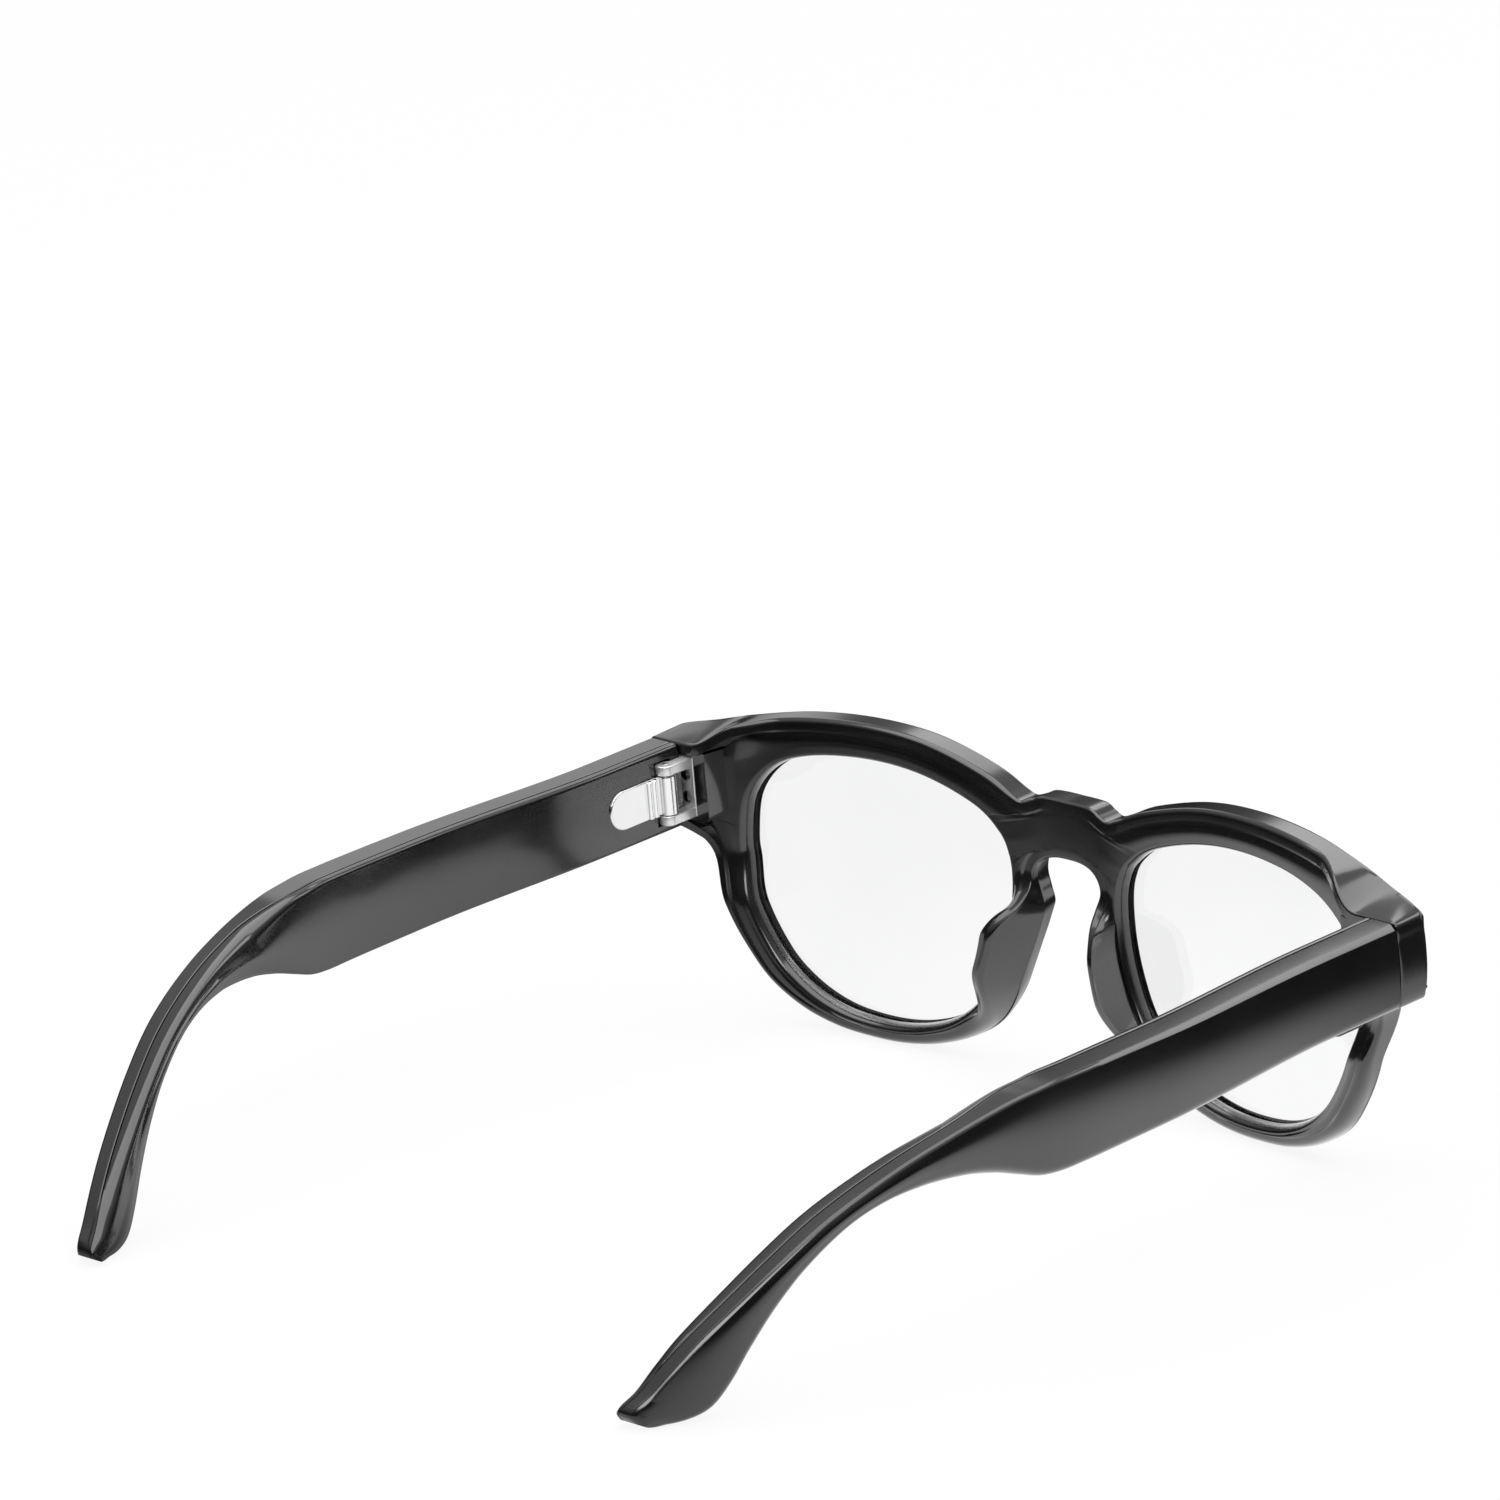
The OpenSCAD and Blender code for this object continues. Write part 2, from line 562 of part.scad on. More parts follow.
module front_leaf() {
    color(metal_bright) difference() {
        union() {
            translate([plate_x0, block_back, end_low_z])
                cube([plate_x1 - plate_x0, plate_t, end_high_z - end_low_z]);
            for (z = [end_low_z, end_high_z - knuckle_end_h]) {
                translate([pin_x - knuckle_r, block_back, z])
                    cube([web_x1 - pin_x + knuckle_r, pin_y - block_back, knuckle_end_h]);
                post(knuckle_r, z, z + knuckle_end_h);
            }
        }
        post(pin_r, end_low_z - 1, end_high_z + 1);
        screw_holes();
        screw_heads();
    }
}
module hinge_pin() {
    color(metal_bright) post(pin_r, end_low_z, end_high_z);
}
rib_r = 0.55;
rib_ys = [pin_y + 2.5, pin_y + 3.5];
rivet_ys = [pin_y + 5, pin_y + 8.5];
rivet_r = 0.5;
rivet_head_r = 0.9;
rivet_head_t = 0.4;
leaf_end_r = knuckle_mid_h / 2;
module tongue(grow, x0, x1) {
    h = knuckle_mid_h + 2 * grow;
    translate([x0, pin_y, hinge_z - h / 2]) cube([x1 - x0, leaf_l - leaf_end_r, h]);
    translate([x0, pin_y + leaf_l - leaf_end_r, hinge_z]) rotate([0, 90, 0]) cylinder(r = h / 2, h = x1 - x0);
}
module temple_leaf() {
    color(metal_bright) difference() {
        union() {
            post(knuckle_r, mid_low, mid_high);
            tongue(0, leaf_back - leaf_t, leaf_back);
            for (y = rib_ys)
                translate([leaf_back - leaf_t, y, mid_low]) cylinder(r = rib_r, h = knuckle_mid_h);
        }
        post(pin_r + pin_clearance, mid_low - 1, mid_high + 1);
        rivet_holes();
    }
}
module rivet_holes() {
    for (y = rivet_ys)
        translate([leaf_back - leaf_t / 2, y, hinge_z]) rotate([0, 90, 0]) cylinder(r = rivet_r, h = 4);
}
module leaf_rivets() {
    inside = leaf_face + cover_t;
    color(metal_bright) for (y = rivet_ys) {
        translate([leaf_back - leaf_t / 2, y, hinge_z]) rotate([0, 90, 0])
            cylinder(r = rivet_r, h = inside - leaf_back + leaf_t / 2);
        translate([inside, y, hinge_z]) rotate([0, 90, 0]) cylinder(r = rivet_head_r, h = rivet_head_t);
    }
}
relief_gap = 0.35;
leaf_pocket_gap = 0.15;

// Temple shells and what they hold, drawn for the left side
speaker_w0 = 1.5;
speaker_w1 = 4.3;
slot_w0 = 2;
slot_w1 = 3.6;
slot_l = speaker_l - 2;
slot_y0 = speaker_y0 + 1;
shelf_z = temple_low - 0.5 + cavity_wall;
mesh_t = 0.4;
fit_gap = 0.05;
module speaker_slot() {
    along(slot_y0, slot_y0 + slot_l, slot_w0, slot_w1, temple_low - 2, shelf_z + 1);
}
module housing() {
    difference() {
        loft(temple_rows, housing_section);
        loft(cavity_rows, cavity_section);
        speaker_slot();
        post(knuckle_r + relief_gap, end_low_z - relief_gap, end_high_z + relief_gap);
    }
}
module cover() {
    difference() {
        loft(temple_rows, cover_section);
        post(knuckle_r + relief_gap, end_low_z - relief_gap, end_high_z + relief_gap);
        tongue(leaf_pocket_gap, leaf_back - 2, leaf_back);
        rivet_holes();
    }
}
board_w0 = 2.7;
board_t = 0.8;
flange_t = 0.6;
button_rest = temple_low + cavity_wall + 0.05;
switch_t = 0.8;
switch_z = button_rest + flange_t + button_travel + 0.1;
board_low = switch_z + switch_t + 0.05;
board_high = temple_top - 1.9;
chip_sizes = [[8, 3, 5], [15, 3, 4]];
chip_h = 0.8;
module temple_board() {
    color(board_green) union() {
        along(board_y0, board_y0 + board_l, board_w0, board_w0 + board_t, board_low, board_high);
        for (c = chip_sizes)
            translate([outer_x(board_y0 + c[0]) - board_w0 - 0.2, board_y0 + c[0] - c[1] / 2, hinge_z - c[2] / 2])
                cube([chip_h, c[1], c[2]]);
    }
}
battery_w0 = housing_wall + inner_gap;
battery_w1 = temple_t - cover_t - inner_gap - 0.3;
battery_low = temple_low + 1.9;
module battery() {
    color([0.3, 0.32, 0.36])
        along(battery_y0, battery_y0 + battery_l, battery_w0, battery_w1, battery_low, board_high);
}
module speaker() {
    color([0.2, 0.2, 0.2]) along(speaker_y0, speaker_y1, speaker_w0, speaker_w1, shelf_z + 0.3, shelf_z + 4);
}
module speaker_mesh() {
    color([0.15, 0.15, 0.15])
        along(slot_y0 + fit_gap, slot_y0 + slot_l - fit_gap, slot_w0 + fit_gap, slot_w1 - fit_gap,
            shelf_z - mesh_t - 0.4, shelf_z - 0.4);
}
flex_w1 = temple_t - cover_t - 0.1;
flex_t = 0.15;
flex_low = temple_top - 3.9;
flex_high = temple_top - 2.1;
module temple_flex() {
    color([0.7, 0.4, 0.1]) along(board_y0, speaker_y1 - 1, flex_w1 - flex_t, flex_w1, flex_low, flex_high);
}
touch_t = 0.3;
touch_w0 = housing_wall + fit_gap;
module strip_sensor() {
    color([0.6, 0.55, 0.3])
        along(board_y0 + 2, board_y0 + board_l - 1, touch_w0, touch_w0 + touch_t, board_low + 1, board_high - 1);
}

// Shutter button under the right temple, drawn for the left side
button_x = temple_x0 - 2.8;
button_flange = 0.5;
module button_shape(grow, z0, z1) {
    for (s = [-1, 1])
        translate([button_x, button_y + s * (button_l / 2 + grow - (button_w / 2 + grow)), z0])
            cylinder(r = button_w / 2 + grow, h = z1 - z0);
    translate([button_x - button_w / 2 - grow, button_y - button_l / 2 + button_w / 2, z0])
        cube([button_w + 2 * grow, button_l - button_w, z1 - z0]);
}
module button() {
    button_shape(0, temple_low - button_proud, button_rest + flange_t);
    button_shape(button_flange, button_rest, button_rest + flange_t);
}
switch_w = 1.3;
switch_l = 3;
module button_switch() {
    color([0.5, 0.5, 0.5]) translate([button_x - 0.4, button_y - switch_l / 2, switch_z])
        cube([switch_w, switch_l, switch_t]);
}
contact_r = 0.9;
contact_y = pin_y + leaf_l + 4.3;
contact_zs = [hinge_z - 1.6, hinge_z + 1.6];
contact_proud = 0.05;
module contact_pins(r, from) {
    for (z = contact_zs)
        translate([outer_x(contact_y) - temple_t - contact_proud, contact_y, z]) rotate([0, 90, 0])
            cylinder(r = r, h = from);
}

module front_frame() {
    color(plastic_black) stand() difference() {
        polyhedron(points = front_points, faces = front_faces);
        eye_bore();
        mirror([1, 0, 0]) eye_bore();
    }
}
lens_rings = [0.4, 0.75, 1];
lens_front_y = groove_front + groove_clear;
module lens() {
    n = ring_n;
    radii = concat(lens_rings, [for (k = [len(lens_rings) - 1 : -1 : 0]) lens_rings[k]]);
    loops = [for (l = [0 : len(radii) - 1]) for (i = [0 : n - 1])
        let (p = hub + radii[l] * (lens_at(ring_turns[i], lens_seat) - hub), back = l >= len(lens_rings))
        at_depth(p, front_y(p[0]) + lens_front_y + (back ? lens_t : 0))];
    last = len(radii) - 1;
    centre = len(loops);
    hub_y = front_y(hub[0]) + lens_front_y;
    color([0.85, 0.9, 0.95, 0.4]) polyhedron(
        points = concat(loops, [at_depth(hub, hub_y), at_depth(hub, hub_y + lens_t)]),
        faces = concat(
            [for (i = [0 : n - 1]) [i, (i + 1) % n, centre]],
            [for (l = [0 : last - 1]) for (i = [0 : n - 1]) let (j = (i + 1) % n)
                each [[l * n + i, (l + 1) * n + i, l * n + j], [l * n + j, (l + 1) * n + i, (l + 1) * n + j]]],
            [for (i = [0 : n - 1]) [last * n + (i + 1) % n, last * n + i, centre + 1]]));
}

module left_lens() { stand() lens(); }
module right_lens() { stand_right() lens(); }
module camera_bezel() { color(metal_bright) stand_right() at_eye() bezel(); }
module camera_window() { color([0.1, 0.1, 0.15]) stand_right() at_eye() window(); }
module camera_barrel() { color([0.1, 0.1, 0.1]) stand_right() at_eye() barrel(); }
module camera_lens() { color([0.2, 0.3, 0.7]) stand_right() at_eye() inner_lens(); }
module camera_sensor() { color(board_green) stand_right() at_eye() sensor(); }
module light_bezel() { color(metal_bright) stand() at_eye() bezel(); }
module light_window() { color([0.9, 0.9, 0.8]) stand() at_eye() window(); }
module light_reflector() { color([0.9, 0.85, 0.6]) stand() at_eye() reflector(); }
module light_chip() { color([1, 0.85, 0.3]) stand() at_eye() chip(); }
module light_board() { color(board_green) stand() at_eye() round_board(); }
module left_hinge_block() { stand() hinge_block(); }
module right_hinge_block() { stand_right() hinge_block(); }
module left_front_leaf() { stand() front_leaf(); }
module right_front_leaf() { stand_right() front_leaf(); }
module left_hinge_screws() { stand() hinge_screws(); }
module right_hinge_screws() { stand_right() hinge_screws(); }
module left_hinge_pin() { stand() hinge_pin(); }
module right_hinge_pin() { stand_right() hinge_pin(); }
module left_housing() { color(plastic_black) stand() housing(); }
module left_cover() { color(plastic_black) stand() cover(); }
module left_temple_leaf() { stand() temple_leaf(); }
module left_leaf_rivets() { stand() leaf_rivets(); }
module left_board() { stand() temple_board(); }
module left_battery() { stand() battery(); }
module left_speaker() { stand() speaker(); }
module left_speaker_mesh() { stand() speaker_mesh(); }
module left_flex() { stand() temple_flex(); }
module right_housing() {
    color(plastic_black) stand_right() difference() {
        housing();
        button_shape(button_gap, temple_low - 2, button_rest);
    }
}
module right_cover() {
    color(plastic_black) stand_right() difference() {
        cover();
        contact_pins(contact_r, cover_t + 1);
    }
}
module right_temple_leaf() { stand_right() temple_leaf(); }
module right_leaf_rivets() { stand_right() leaf_rivets(); }
module right_board() { stand_right() temple_board(); }
module right_battery() { stand_right() battery(); }
module right_speaker() { stand_right() speaker(); }
module right_speaker_mesh() { stand_right() speaker_mesh(); }
module right_flex() { stand_right() temple_flex(); }
module touch_strip() { stand_right() strip_sensor(); }
module charging_contacts() { color([0.85, 0.7, 0.35]) stand_right() contact_pins(contact_r, cover_t); }
module shutter_button() { color(plastic_black) stand_right() button(); }
module shutter_switch() { stand_right() button_switch(); }

front_frame();
left_lens();
right_lens();
camera_bezel();
camera_window();
camera_barrel();
camera_lens();
camera_sensor();
light_bezel();
light_window();
light_reflector();
light_chip();
light_board();
left_hinge_block();
right_hinge_block();
left_front_leaf();
right_front_leaf();
left_hinge_screws();
right_hinge_screws();
left_hinge_pin();
right_hinge_pin();
left_housing();
left_cover();
left_temple_leaf();
left_leaf_rivets();
left_board();
left_battery();
left_speaker();
left_speaker_mesh();
left_flex();
right_housing();
right_cover();
right_temple_leaf();
right_leaf_rivets();
right_board();
right_battery();
right_speaker();
right_speaker_mesh();
right_flex();
touch_strip();
charging_contacts();
shutter_button();
shutter_switch();
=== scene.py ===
# Smart glasses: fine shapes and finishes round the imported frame.
# Pieces are drawn in millimetres as the glasses are worn, then set down as the frame stands.
# x runs to the wearer's left, y back along the temples and z up from the lowest point of the rims.
import json
import math
from bisect import bisect_right

import bmesh
import bpy
from mathutils import Matrix, Vector


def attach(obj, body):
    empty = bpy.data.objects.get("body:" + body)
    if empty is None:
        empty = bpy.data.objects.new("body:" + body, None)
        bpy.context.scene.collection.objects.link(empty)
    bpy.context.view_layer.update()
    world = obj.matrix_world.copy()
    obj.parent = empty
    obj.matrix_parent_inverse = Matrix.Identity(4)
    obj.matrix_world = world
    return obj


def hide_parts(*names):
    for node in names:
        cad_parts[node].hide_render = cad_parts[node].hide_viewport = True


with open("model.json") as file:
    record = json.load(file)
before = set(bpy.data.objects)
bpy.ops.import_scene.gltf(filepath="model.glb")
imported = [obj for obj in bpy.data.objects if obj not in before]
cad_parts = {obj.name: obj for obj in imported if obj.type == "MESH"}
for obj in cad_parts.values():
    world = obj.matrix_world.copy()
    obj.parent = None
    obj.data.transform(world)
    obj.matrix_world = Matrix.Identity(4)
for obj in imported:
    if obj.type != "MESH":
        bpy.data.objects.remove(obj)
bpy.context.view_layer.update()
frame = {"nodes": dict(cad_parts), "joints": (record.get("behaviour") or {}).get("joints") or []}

MM = 0.001
FULL = 2 * math.pi
SIDES = ("left", "right")

# Points nearer to each other than this are joined
MERGE = 0.0005

# Sizes of the front
half_w = 74.0
wrap_depth = 9.3
wrap_power = 2.5
rim_t = 5.0
front_chamfer = 1.2
soft_edge = 1.5
soft_sag = 0.25
back_bevel = 0.4
brow_round = 0.8
back_crown = 0.16
opening_round = 0.9
bridge_bulge = 0.8
bridge_half = 9.0
lens_w = 49.8
lens_h = 39.3
lens_gap = 21.8
hub_rise = 6.0
rim_low = 3.3
lens_t = 1.7
lens_seat = 0.7
ledge_w = 1.3
ledge_depth = 1.2
groove_w = 1.9
groove_depth = 0.8
groove_back = ledge_depth + groove_w
pad_half_gap = 5.3
pad_depth = 6.2
rim_lean = math.radians(4.3)
end_wall = 1.6
lip_step = 0.35
lens_top = rim_low + lens_h
bridge_top = lens_top + 0.2
arch_top = bridge_top - 8.6
brow_z = bridge_top + 4
end_top = lens_top
end_low = end_top - 12.8
end_mid = (end_top + end_low) / 2
seam_y = wrap_depth - front_chamfer + rim_t + 1.3

# The slanting crease beside the bridge: its place at a low height, and at the height that far above it
crease_low_x = 6.5
crease_high_x = 8.06
crease_low_z = 35.2
crease_rise = 5.3

# Where the shapes of the front change into each other: a starting place and the run of the change
upper_lip_in = 21.0
upper_lip_run = 13.0
lower_lip_in = 8.5
lower_lip_run = 5.0
upright_in = 24.0
upright_run = 11.0
upright_drop = 12.0
upright_rise = 8.0
brow_start_x = 8.0
brow_start_run = 6.0
brow_end_x = 56.0
brow_end_run = 8.0
crisp_z = 13.0
crisp_run = 10.0
end_fall_in = 15.0
end_fall_run = 7.0

# Sizes of the nose pads and of the rounding below the rims
pad_high = arch_top - 3
pad_low = rim_low
pad_run_in = 9.5
pad_run_out = 13.0
pad_ridge = 1.3
pad_edge = 2.3
pad_round = 0.4
low_round = 2.1
low_run = 25.0
nose_set_back = 2.2

# Sizes of the temples
temple_y0 = seam_y + 0.25
temple_top = end_top - 0.1
temple_low = end_low - 0.1
ear_y = 88.0
straight_y = temple_y0 + 15
temple_x0 = half_w - 0.3
temple_t = 6.0
tip_thinner = 0.2
temple_bow = 2.0
bow_start = 28.05
bow_end = 64.0
bend_start = 76.0
bend_radius = 133.0
cover_t = 1.4
cover_ear_t = 3.0
half_seam = 0.06
seam_lip = 0.18
tip_round = 2.2
round_y = ear_y + 52
round_l = 9.6
outer_bulge = 0.35
inner_bulge = 0.4
shell_end_r = 0.15

# Edges of the temple shells, which change towards the ear bend and the tip
outer_low_r = 1.4
outer_ear_r = 2.2
outer_ear_run = 16.0
outer_chamfer = 0.9
outer_ear_chamfer = 0.5
chamfer_y = 30.0
chamfer_run = 60.0
inner_edge_r = 0.7
inner_top_r = 2.6
inner_top_run = 18.0
inner_low_r = 2.4
inner_low_run = 20.0
inner_least = 0.35
cover_run = 14.0
thin_run = 50.0
ear_lead = 6.0
tip_lead = 3.0

# Sizes of the hinges, the camera, the light, the button and the loudspeaker slots
pin_x = half_w - 7.1
pin_y = seam_y + 3.8
pin_r = 0.6
pin_fit = 0.05
hinge_z = (temple_top + temple_low) / 2 - 0.1
knuckle_r = 1.5
knuckle_mid_h = 6.0
knuckle_end_h = 1.5
knuckle_gap = 0.1
metal_edge = 0.2
tongue_edge = 0.22
tongue_start = 0.9
leaf_l = 11.5
leaf_t = 1.0
leaf_back = temple_x0 - temple_t + 0.3
plate_in = 1.6
plate_gap = 0.12
plate_back = seam_y - 0.2
block_back = plate_back - leaf_t
relief_gap = 0.35
relief_r = knuckle_r + relief_gap
stack_h = knuckle_mid_h / 2 + knuckle_gap + knuckle_end_h
eye_x = half_w - 6.6
eye_z = end_top - 6.2
bezel_r = 3.25
bezel_t = 0.4
bezel_fit = 0.14
window_r = 2.77
cup_flange_r = 2.25
chip_half = 0.88
button_x = temple_x0 - 2.8
button_y = pin_y + 4.8
button_l = 6.0
button_w = 2.0
button_fit = 0.3
button_proud = 0.8
button_top = temple_low + 1.95
button_edge = 0.35
button_deep = 1.3
slot_y = 83.5
slot_in = 2.8
slot_l = 5.0
slot_w = 1.6
slot_deep = 1.2
cut_below = 3.0


# Curves through chosen points
def smooth(t):
    t = min(max(t, 0.0), 1.0)
    return t * t * (3 - 2 * t)


def mix(a, b, t):
    return a + (b - a) * t


def curve_point(a, b, c, d, t):
    slope = (c - a) * t
    bend = (2 * a - 5 * b + 4 * c - d) * (t * t)
    twist = (3 * b - a - 3 * c + d) * (t * t * t)
    return 0.5 * (2 * b + slope + bend + twist)


def open_curve(keys, steps):
    last = len(keys) - 1
    line = []
    for i in range(last):
        before = keys[max(i - 1, 0)]
        after = keys[min(i + 2, last)]
        for k in range(steps):
            line.append(curve_point(before, keys[i], keys[i + 1], after, k / steps))
    return line + [keys[last].copy()]


def closed_curve(keys, steps):
    n = len(keys)
    line = []
    for i in range(n):
        for k in range(steps):
            line.append(curve_point(keys[i - 1], keys[i], keys[(i + 1) % n], keys[(i + 2) % n], k / steps))
    return line


# Setting down: the lean of the hinge axis gives the lean of the whole object
left_fold = next(j for j in frame["joints"] if j["name"] == "left_fold")
lean = math.atan2(left_fold["axis"][1], left_fold["axis"][2])
turn_down = Matrix.Rotation(-lean, 4, "X") @ Matrix.Scale(MM, 4)
pin_place = Vector((pin_x, pin_y, hinge_z))
STAND = Matrix.Translation(Vector(left_fold["pos_m"]) - turn_down @ pin_place) @ turn_down


# Rings of points, grown loop by loop with the extrude operator
def ring_edges(bm, ring):
    edges = []
    for i, vert in enumerate(ring):
        edges.append(bm.edges.get((vert, ring[(i + 1) % len(ring)])))
    return edges


def start_ring(bm, places):
    ring = bmesh.ops.create_circle(bm, segments=len(places), radius=1)["verts"]
    for vert, place in zip(ring, places):
        vert.co = place
    return ring


def grow_ring(bm, ring, places):
    made = bmesh.ops.extrude_edge_only(bm, edges=ring_edges(bm, ring))["geom"]
    fresh = {item for item in made if isinstance(item, bmesh.types.BMVert)}
    grown = []
    for vert in ring:
        grown.append(next(e.other_vert(vert) for e in vert.link_edges if e.other_vert(vert) in fresh))
    for vert, place in zip(grown, places):
        vert.co = place
    return grown


def grow_rings(bm, loops):
    rings = [start_ring(bm, loops[0])]
    for places in loops[1:]:
        rings.append(grow_ring(bm, rings[-1], places))
    return rings


def bevel_edges(bm, edges, radius, segments):
    bmesh.ops.bevel(bm, geom=edges, offset=radius, offset_type="OFFSET", segments=segments, profile=0.5,
                    affect="EDGES", material=-1, clamp_overlap=True)


def cap_ring(bm, ring, round_r=0.0, segments=3):
    cap = bmesh.ops.contextual_create(bm, geom=ring_edges(bm, ring))["faces"]
    if round_r:
        bevel_edges(bm, list(cap[0].edges), round_r, segments)


def tidy(bm):
    bmesh.ops.remove_doubles(bm, verts=bm.verts, dist=MERGE)
    bmesh.ops.dissolve_degenerate(bm, edges=bm.edges, dist=MERGE)
    bmesh.ops.recalc_face_normals(bm, faces=bm.faces)


def lathe(profile, steps=96):
    # A profile of (radius, depth) turned about the y axis
    bm = bmesh.new()
    verts = [bm.verts.new((r, y, 0)) for r, y in profile]
    edges = [bm.edges.new(pair) for pair in zip(verts, verts[1:])]
    bmesh.ops.spin(bm, geom=verts + edges, cent=(0, 0, 0), axis=(0, 1, 0), angle=FULL, steps=steps,
                   use_merge=True)
    tidy(bm)
    return bm


def prism(outline, low, high, bevel_r=0.0, segments=3):
    # An outline in x and y drawn up from one height to another, with its rims bevelled
    bm = bmesh.new()
    foot, head = grow_rings(bm, [[Vector((x, y, z)) for x, y in outline] for z in (low, high)])
    rims = ring_edges(bm, foot) + ring_edges(bm, head)
    cap_ring(bm, foot)
    cap_ring(bm, head)
    bmesh.ops.recalc_face_normals(bm, faces=bm.faces)
    if bevel_r:
        bevel_edges(bm, rims, bevel_r, segments)
    bmesh.ops.recalc_face_normals(bm, faces=bm.faces)
    return bm


def block(low, high, bevel_r, segments=3):
    bm = bmesh.new()
    bmesh.ops.create_cube(bm, size=1)
    size = Vector(high) - Vector(low)
    bmesh.ops.scale(bm, vec=size, verts=bm.verts)
    bmesh.ops.translate(bm, vec=(Vector(low) + Vector(high)) / 2, verts=bm.verts)
    bevel_edges(bm, bm.edges[:], bevel_r, segments)
    return bm


def stadium(length, width, steps=14):
    # Points round a slot shape, long in y
    points = []
    for end in (1, -1):
        for k in range(steps + 1):
            a = math.pi * k / steps
            across = width / 2 * math.cos(a) * end
            along = end * ((length - width) / 2 + width / 2 * math.sin(a))
            points.append((across, along))
    return points


def new_mesh(name, bm):
    mesh = bpy.data.meshes.new(name)
    bm.to_mesh(mesh)
    bm.free()
    return mesh


def add_object(name, data):
    thing = bpy.data.objects.new(name, data)
    bpy.context.scene.collection.objects.link(thing)
    return thing


def joined(*parts):
    # Several closed shells in one mesh
    whole = parts[0]
    for part in parts[1:]:
        mesh = new_mesh("shell", part)
        whole.from_mesh(mesh)
        bpy.data.meshes.remove(mesh)
    return whole


# Turning a drawn shape into a piece of the object
SHARP = math.radians(38)


def set_down(bm, side):
    if side == "right":
        bmesh.ops.scale(bm, vec=(-1, 1, 1), verts=bm.verts)
        bmesh.ops.reverse_faces(bm, faces=bm.faces)
    bmesh.ops.transform(bm, matrix=STAND, verts=bm.verts)


def make_piece(name, bm, finish, body, nodes, side="left"):
    set_down(bm, side)
    piece = add_object(name, new_mesh(name, bm))
    piece.data.materials.append(finish)
    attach(piece, body)
    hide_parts(*nodes)
    return piece


def carve(piece, tool_shape, side="left"):
    # Takes a drawn shape out of a piece
    set_down(tool_shape, side)
    tool_mesh = new_mesh("tool", tool_shape)
    tool = add_object("tool", tool_mesh)
    cut = piece.modifiers.new("cut", "BOOLEAN")
    cut.operation = "DIFFERENCE"
    cut.solver = "EXACT"
    cut.object = tool
    depsgraph = bpy.context.evaluated_depsgraph_get()
    carved = bpy.data.meshes.new_from_object(piece.evaluated_get(depsgraph))
    piece.modifiers.clear()
    worn_out = piece.data
    carved.name = piece.name
    piece.data = carved
    bpy.data.objects.remove(tool)
    bpy.data.meshes.remove(tool_mesh)
    bpy.data.meshes.remove(worn_out)


def polish(piece):
    # Smooth faces that stay crisp at real edges
    piece.data.shade_smooth()
    piece.data.set_sharp_from_angle(angle=SHARP)
    steady = piece.modifiers.new("steady_normals", "WEIGHTED_NORMAL")
    steady.keep_sharp = True
    return piece


# Shader nodes
def feed(tree, node, **inputs):
    # Gives a node's inputs plain values or links from other nodes
    for name, value in inputs.items():
        socket = node.inputs[name.replace("_", " ")]
        if isinstance(value, bpy.types.NodeSocket):
            tree.links.new(value, socket)
        else:
            socket.default_value = value


def add_ramp(tree, share, first, last, *between):
    # Colours along a share, each given with its position
    ramp = tree.nodes.new("ShaderNodeValToRGB")
    feed(tree, ramp, Fac=share)
    stops = ramp.color_ramp.elements
    for stop, (position, colour) in zip((stops[0], stops[1]), (first, last)):
        stop.position = position
        stop.color = (*colour, 1)
    for position, colour in between:
        stops.new(position).color = (*colour, 1)
    return ramp.outputs["Color"]


def greater(tree, first, second):
    node = tree.nodes.new("ShaderNodeMath")
    node.operation = "MAXIMUM"
    tree.links.new(first, node.inputs[0])
    tree.links.new(second, node.inputs[1])
    return node.outputs[0]


def blend_shaders(tree, share, first, second):
    blend = tree.nodes.new("ShaderNodeMixShader")
    for source, socket in zip((share, first.outputs[0], second.outputs[0]), blend.inputs):
        tree.links.new(source, socket)
    return blend.outputs["Shader"]


# Finishes: one shared group gives the faint unevenness of a worn, handled surface
def make_handling():
    group = bpy.data.node_groups.new("handling", "ShaderNodeTree")
    for name, value in (("Scale", 60.0), ("Fine Scale", 900.0), ("Low", 0.1), ("High", 0.2)):
        socket = group.interface.new_socket(name, in_out="INPUT", socket_type="NodeSocketFloat")
        socket.default_value = value
    for name in ("Roughness", "Height", "Mask"):
        group.interface.new_socket(name, in_out="OUTPUT", socket_type="NodeSocketFloat")
    given = group.nodes.new("NodeGroupInput").outputs
    results = group.nodes.new("NodeGroupOutput")
    place = group.nodes.new("ShaderNodeTexCoord").outputs["Object"]
    broad = group.nodes.new("ShaderNodeTexNoise")
    feed(group, broad, Vector=place, Scale=given["Scale"], Detail=5, Roughness=0.6)
    fine = group.nodes.new("ShaderNodeTexNoise")
    feed(group, fine, Vector=place, Scale=given["Fine Scale"], Detail=3)
    spread = group.nodes.new("ShaderNodeMapRange")
    feed(group, spread, Value=broad.outputs["Fac"], From_Min=0.35, From_Max=0.65, To_Min=given["Low"],
         To_Max=given["High"])
    feed(group, results, Roughness=spread.outputs["Result"], Height=fine.outputs["Fac"],
         Mask=broad.outputs["Fac"])
    return group


handling = make_handling()
TINT_START = 0.38
TINT_END = 0.62
RELIEF = 0.0001


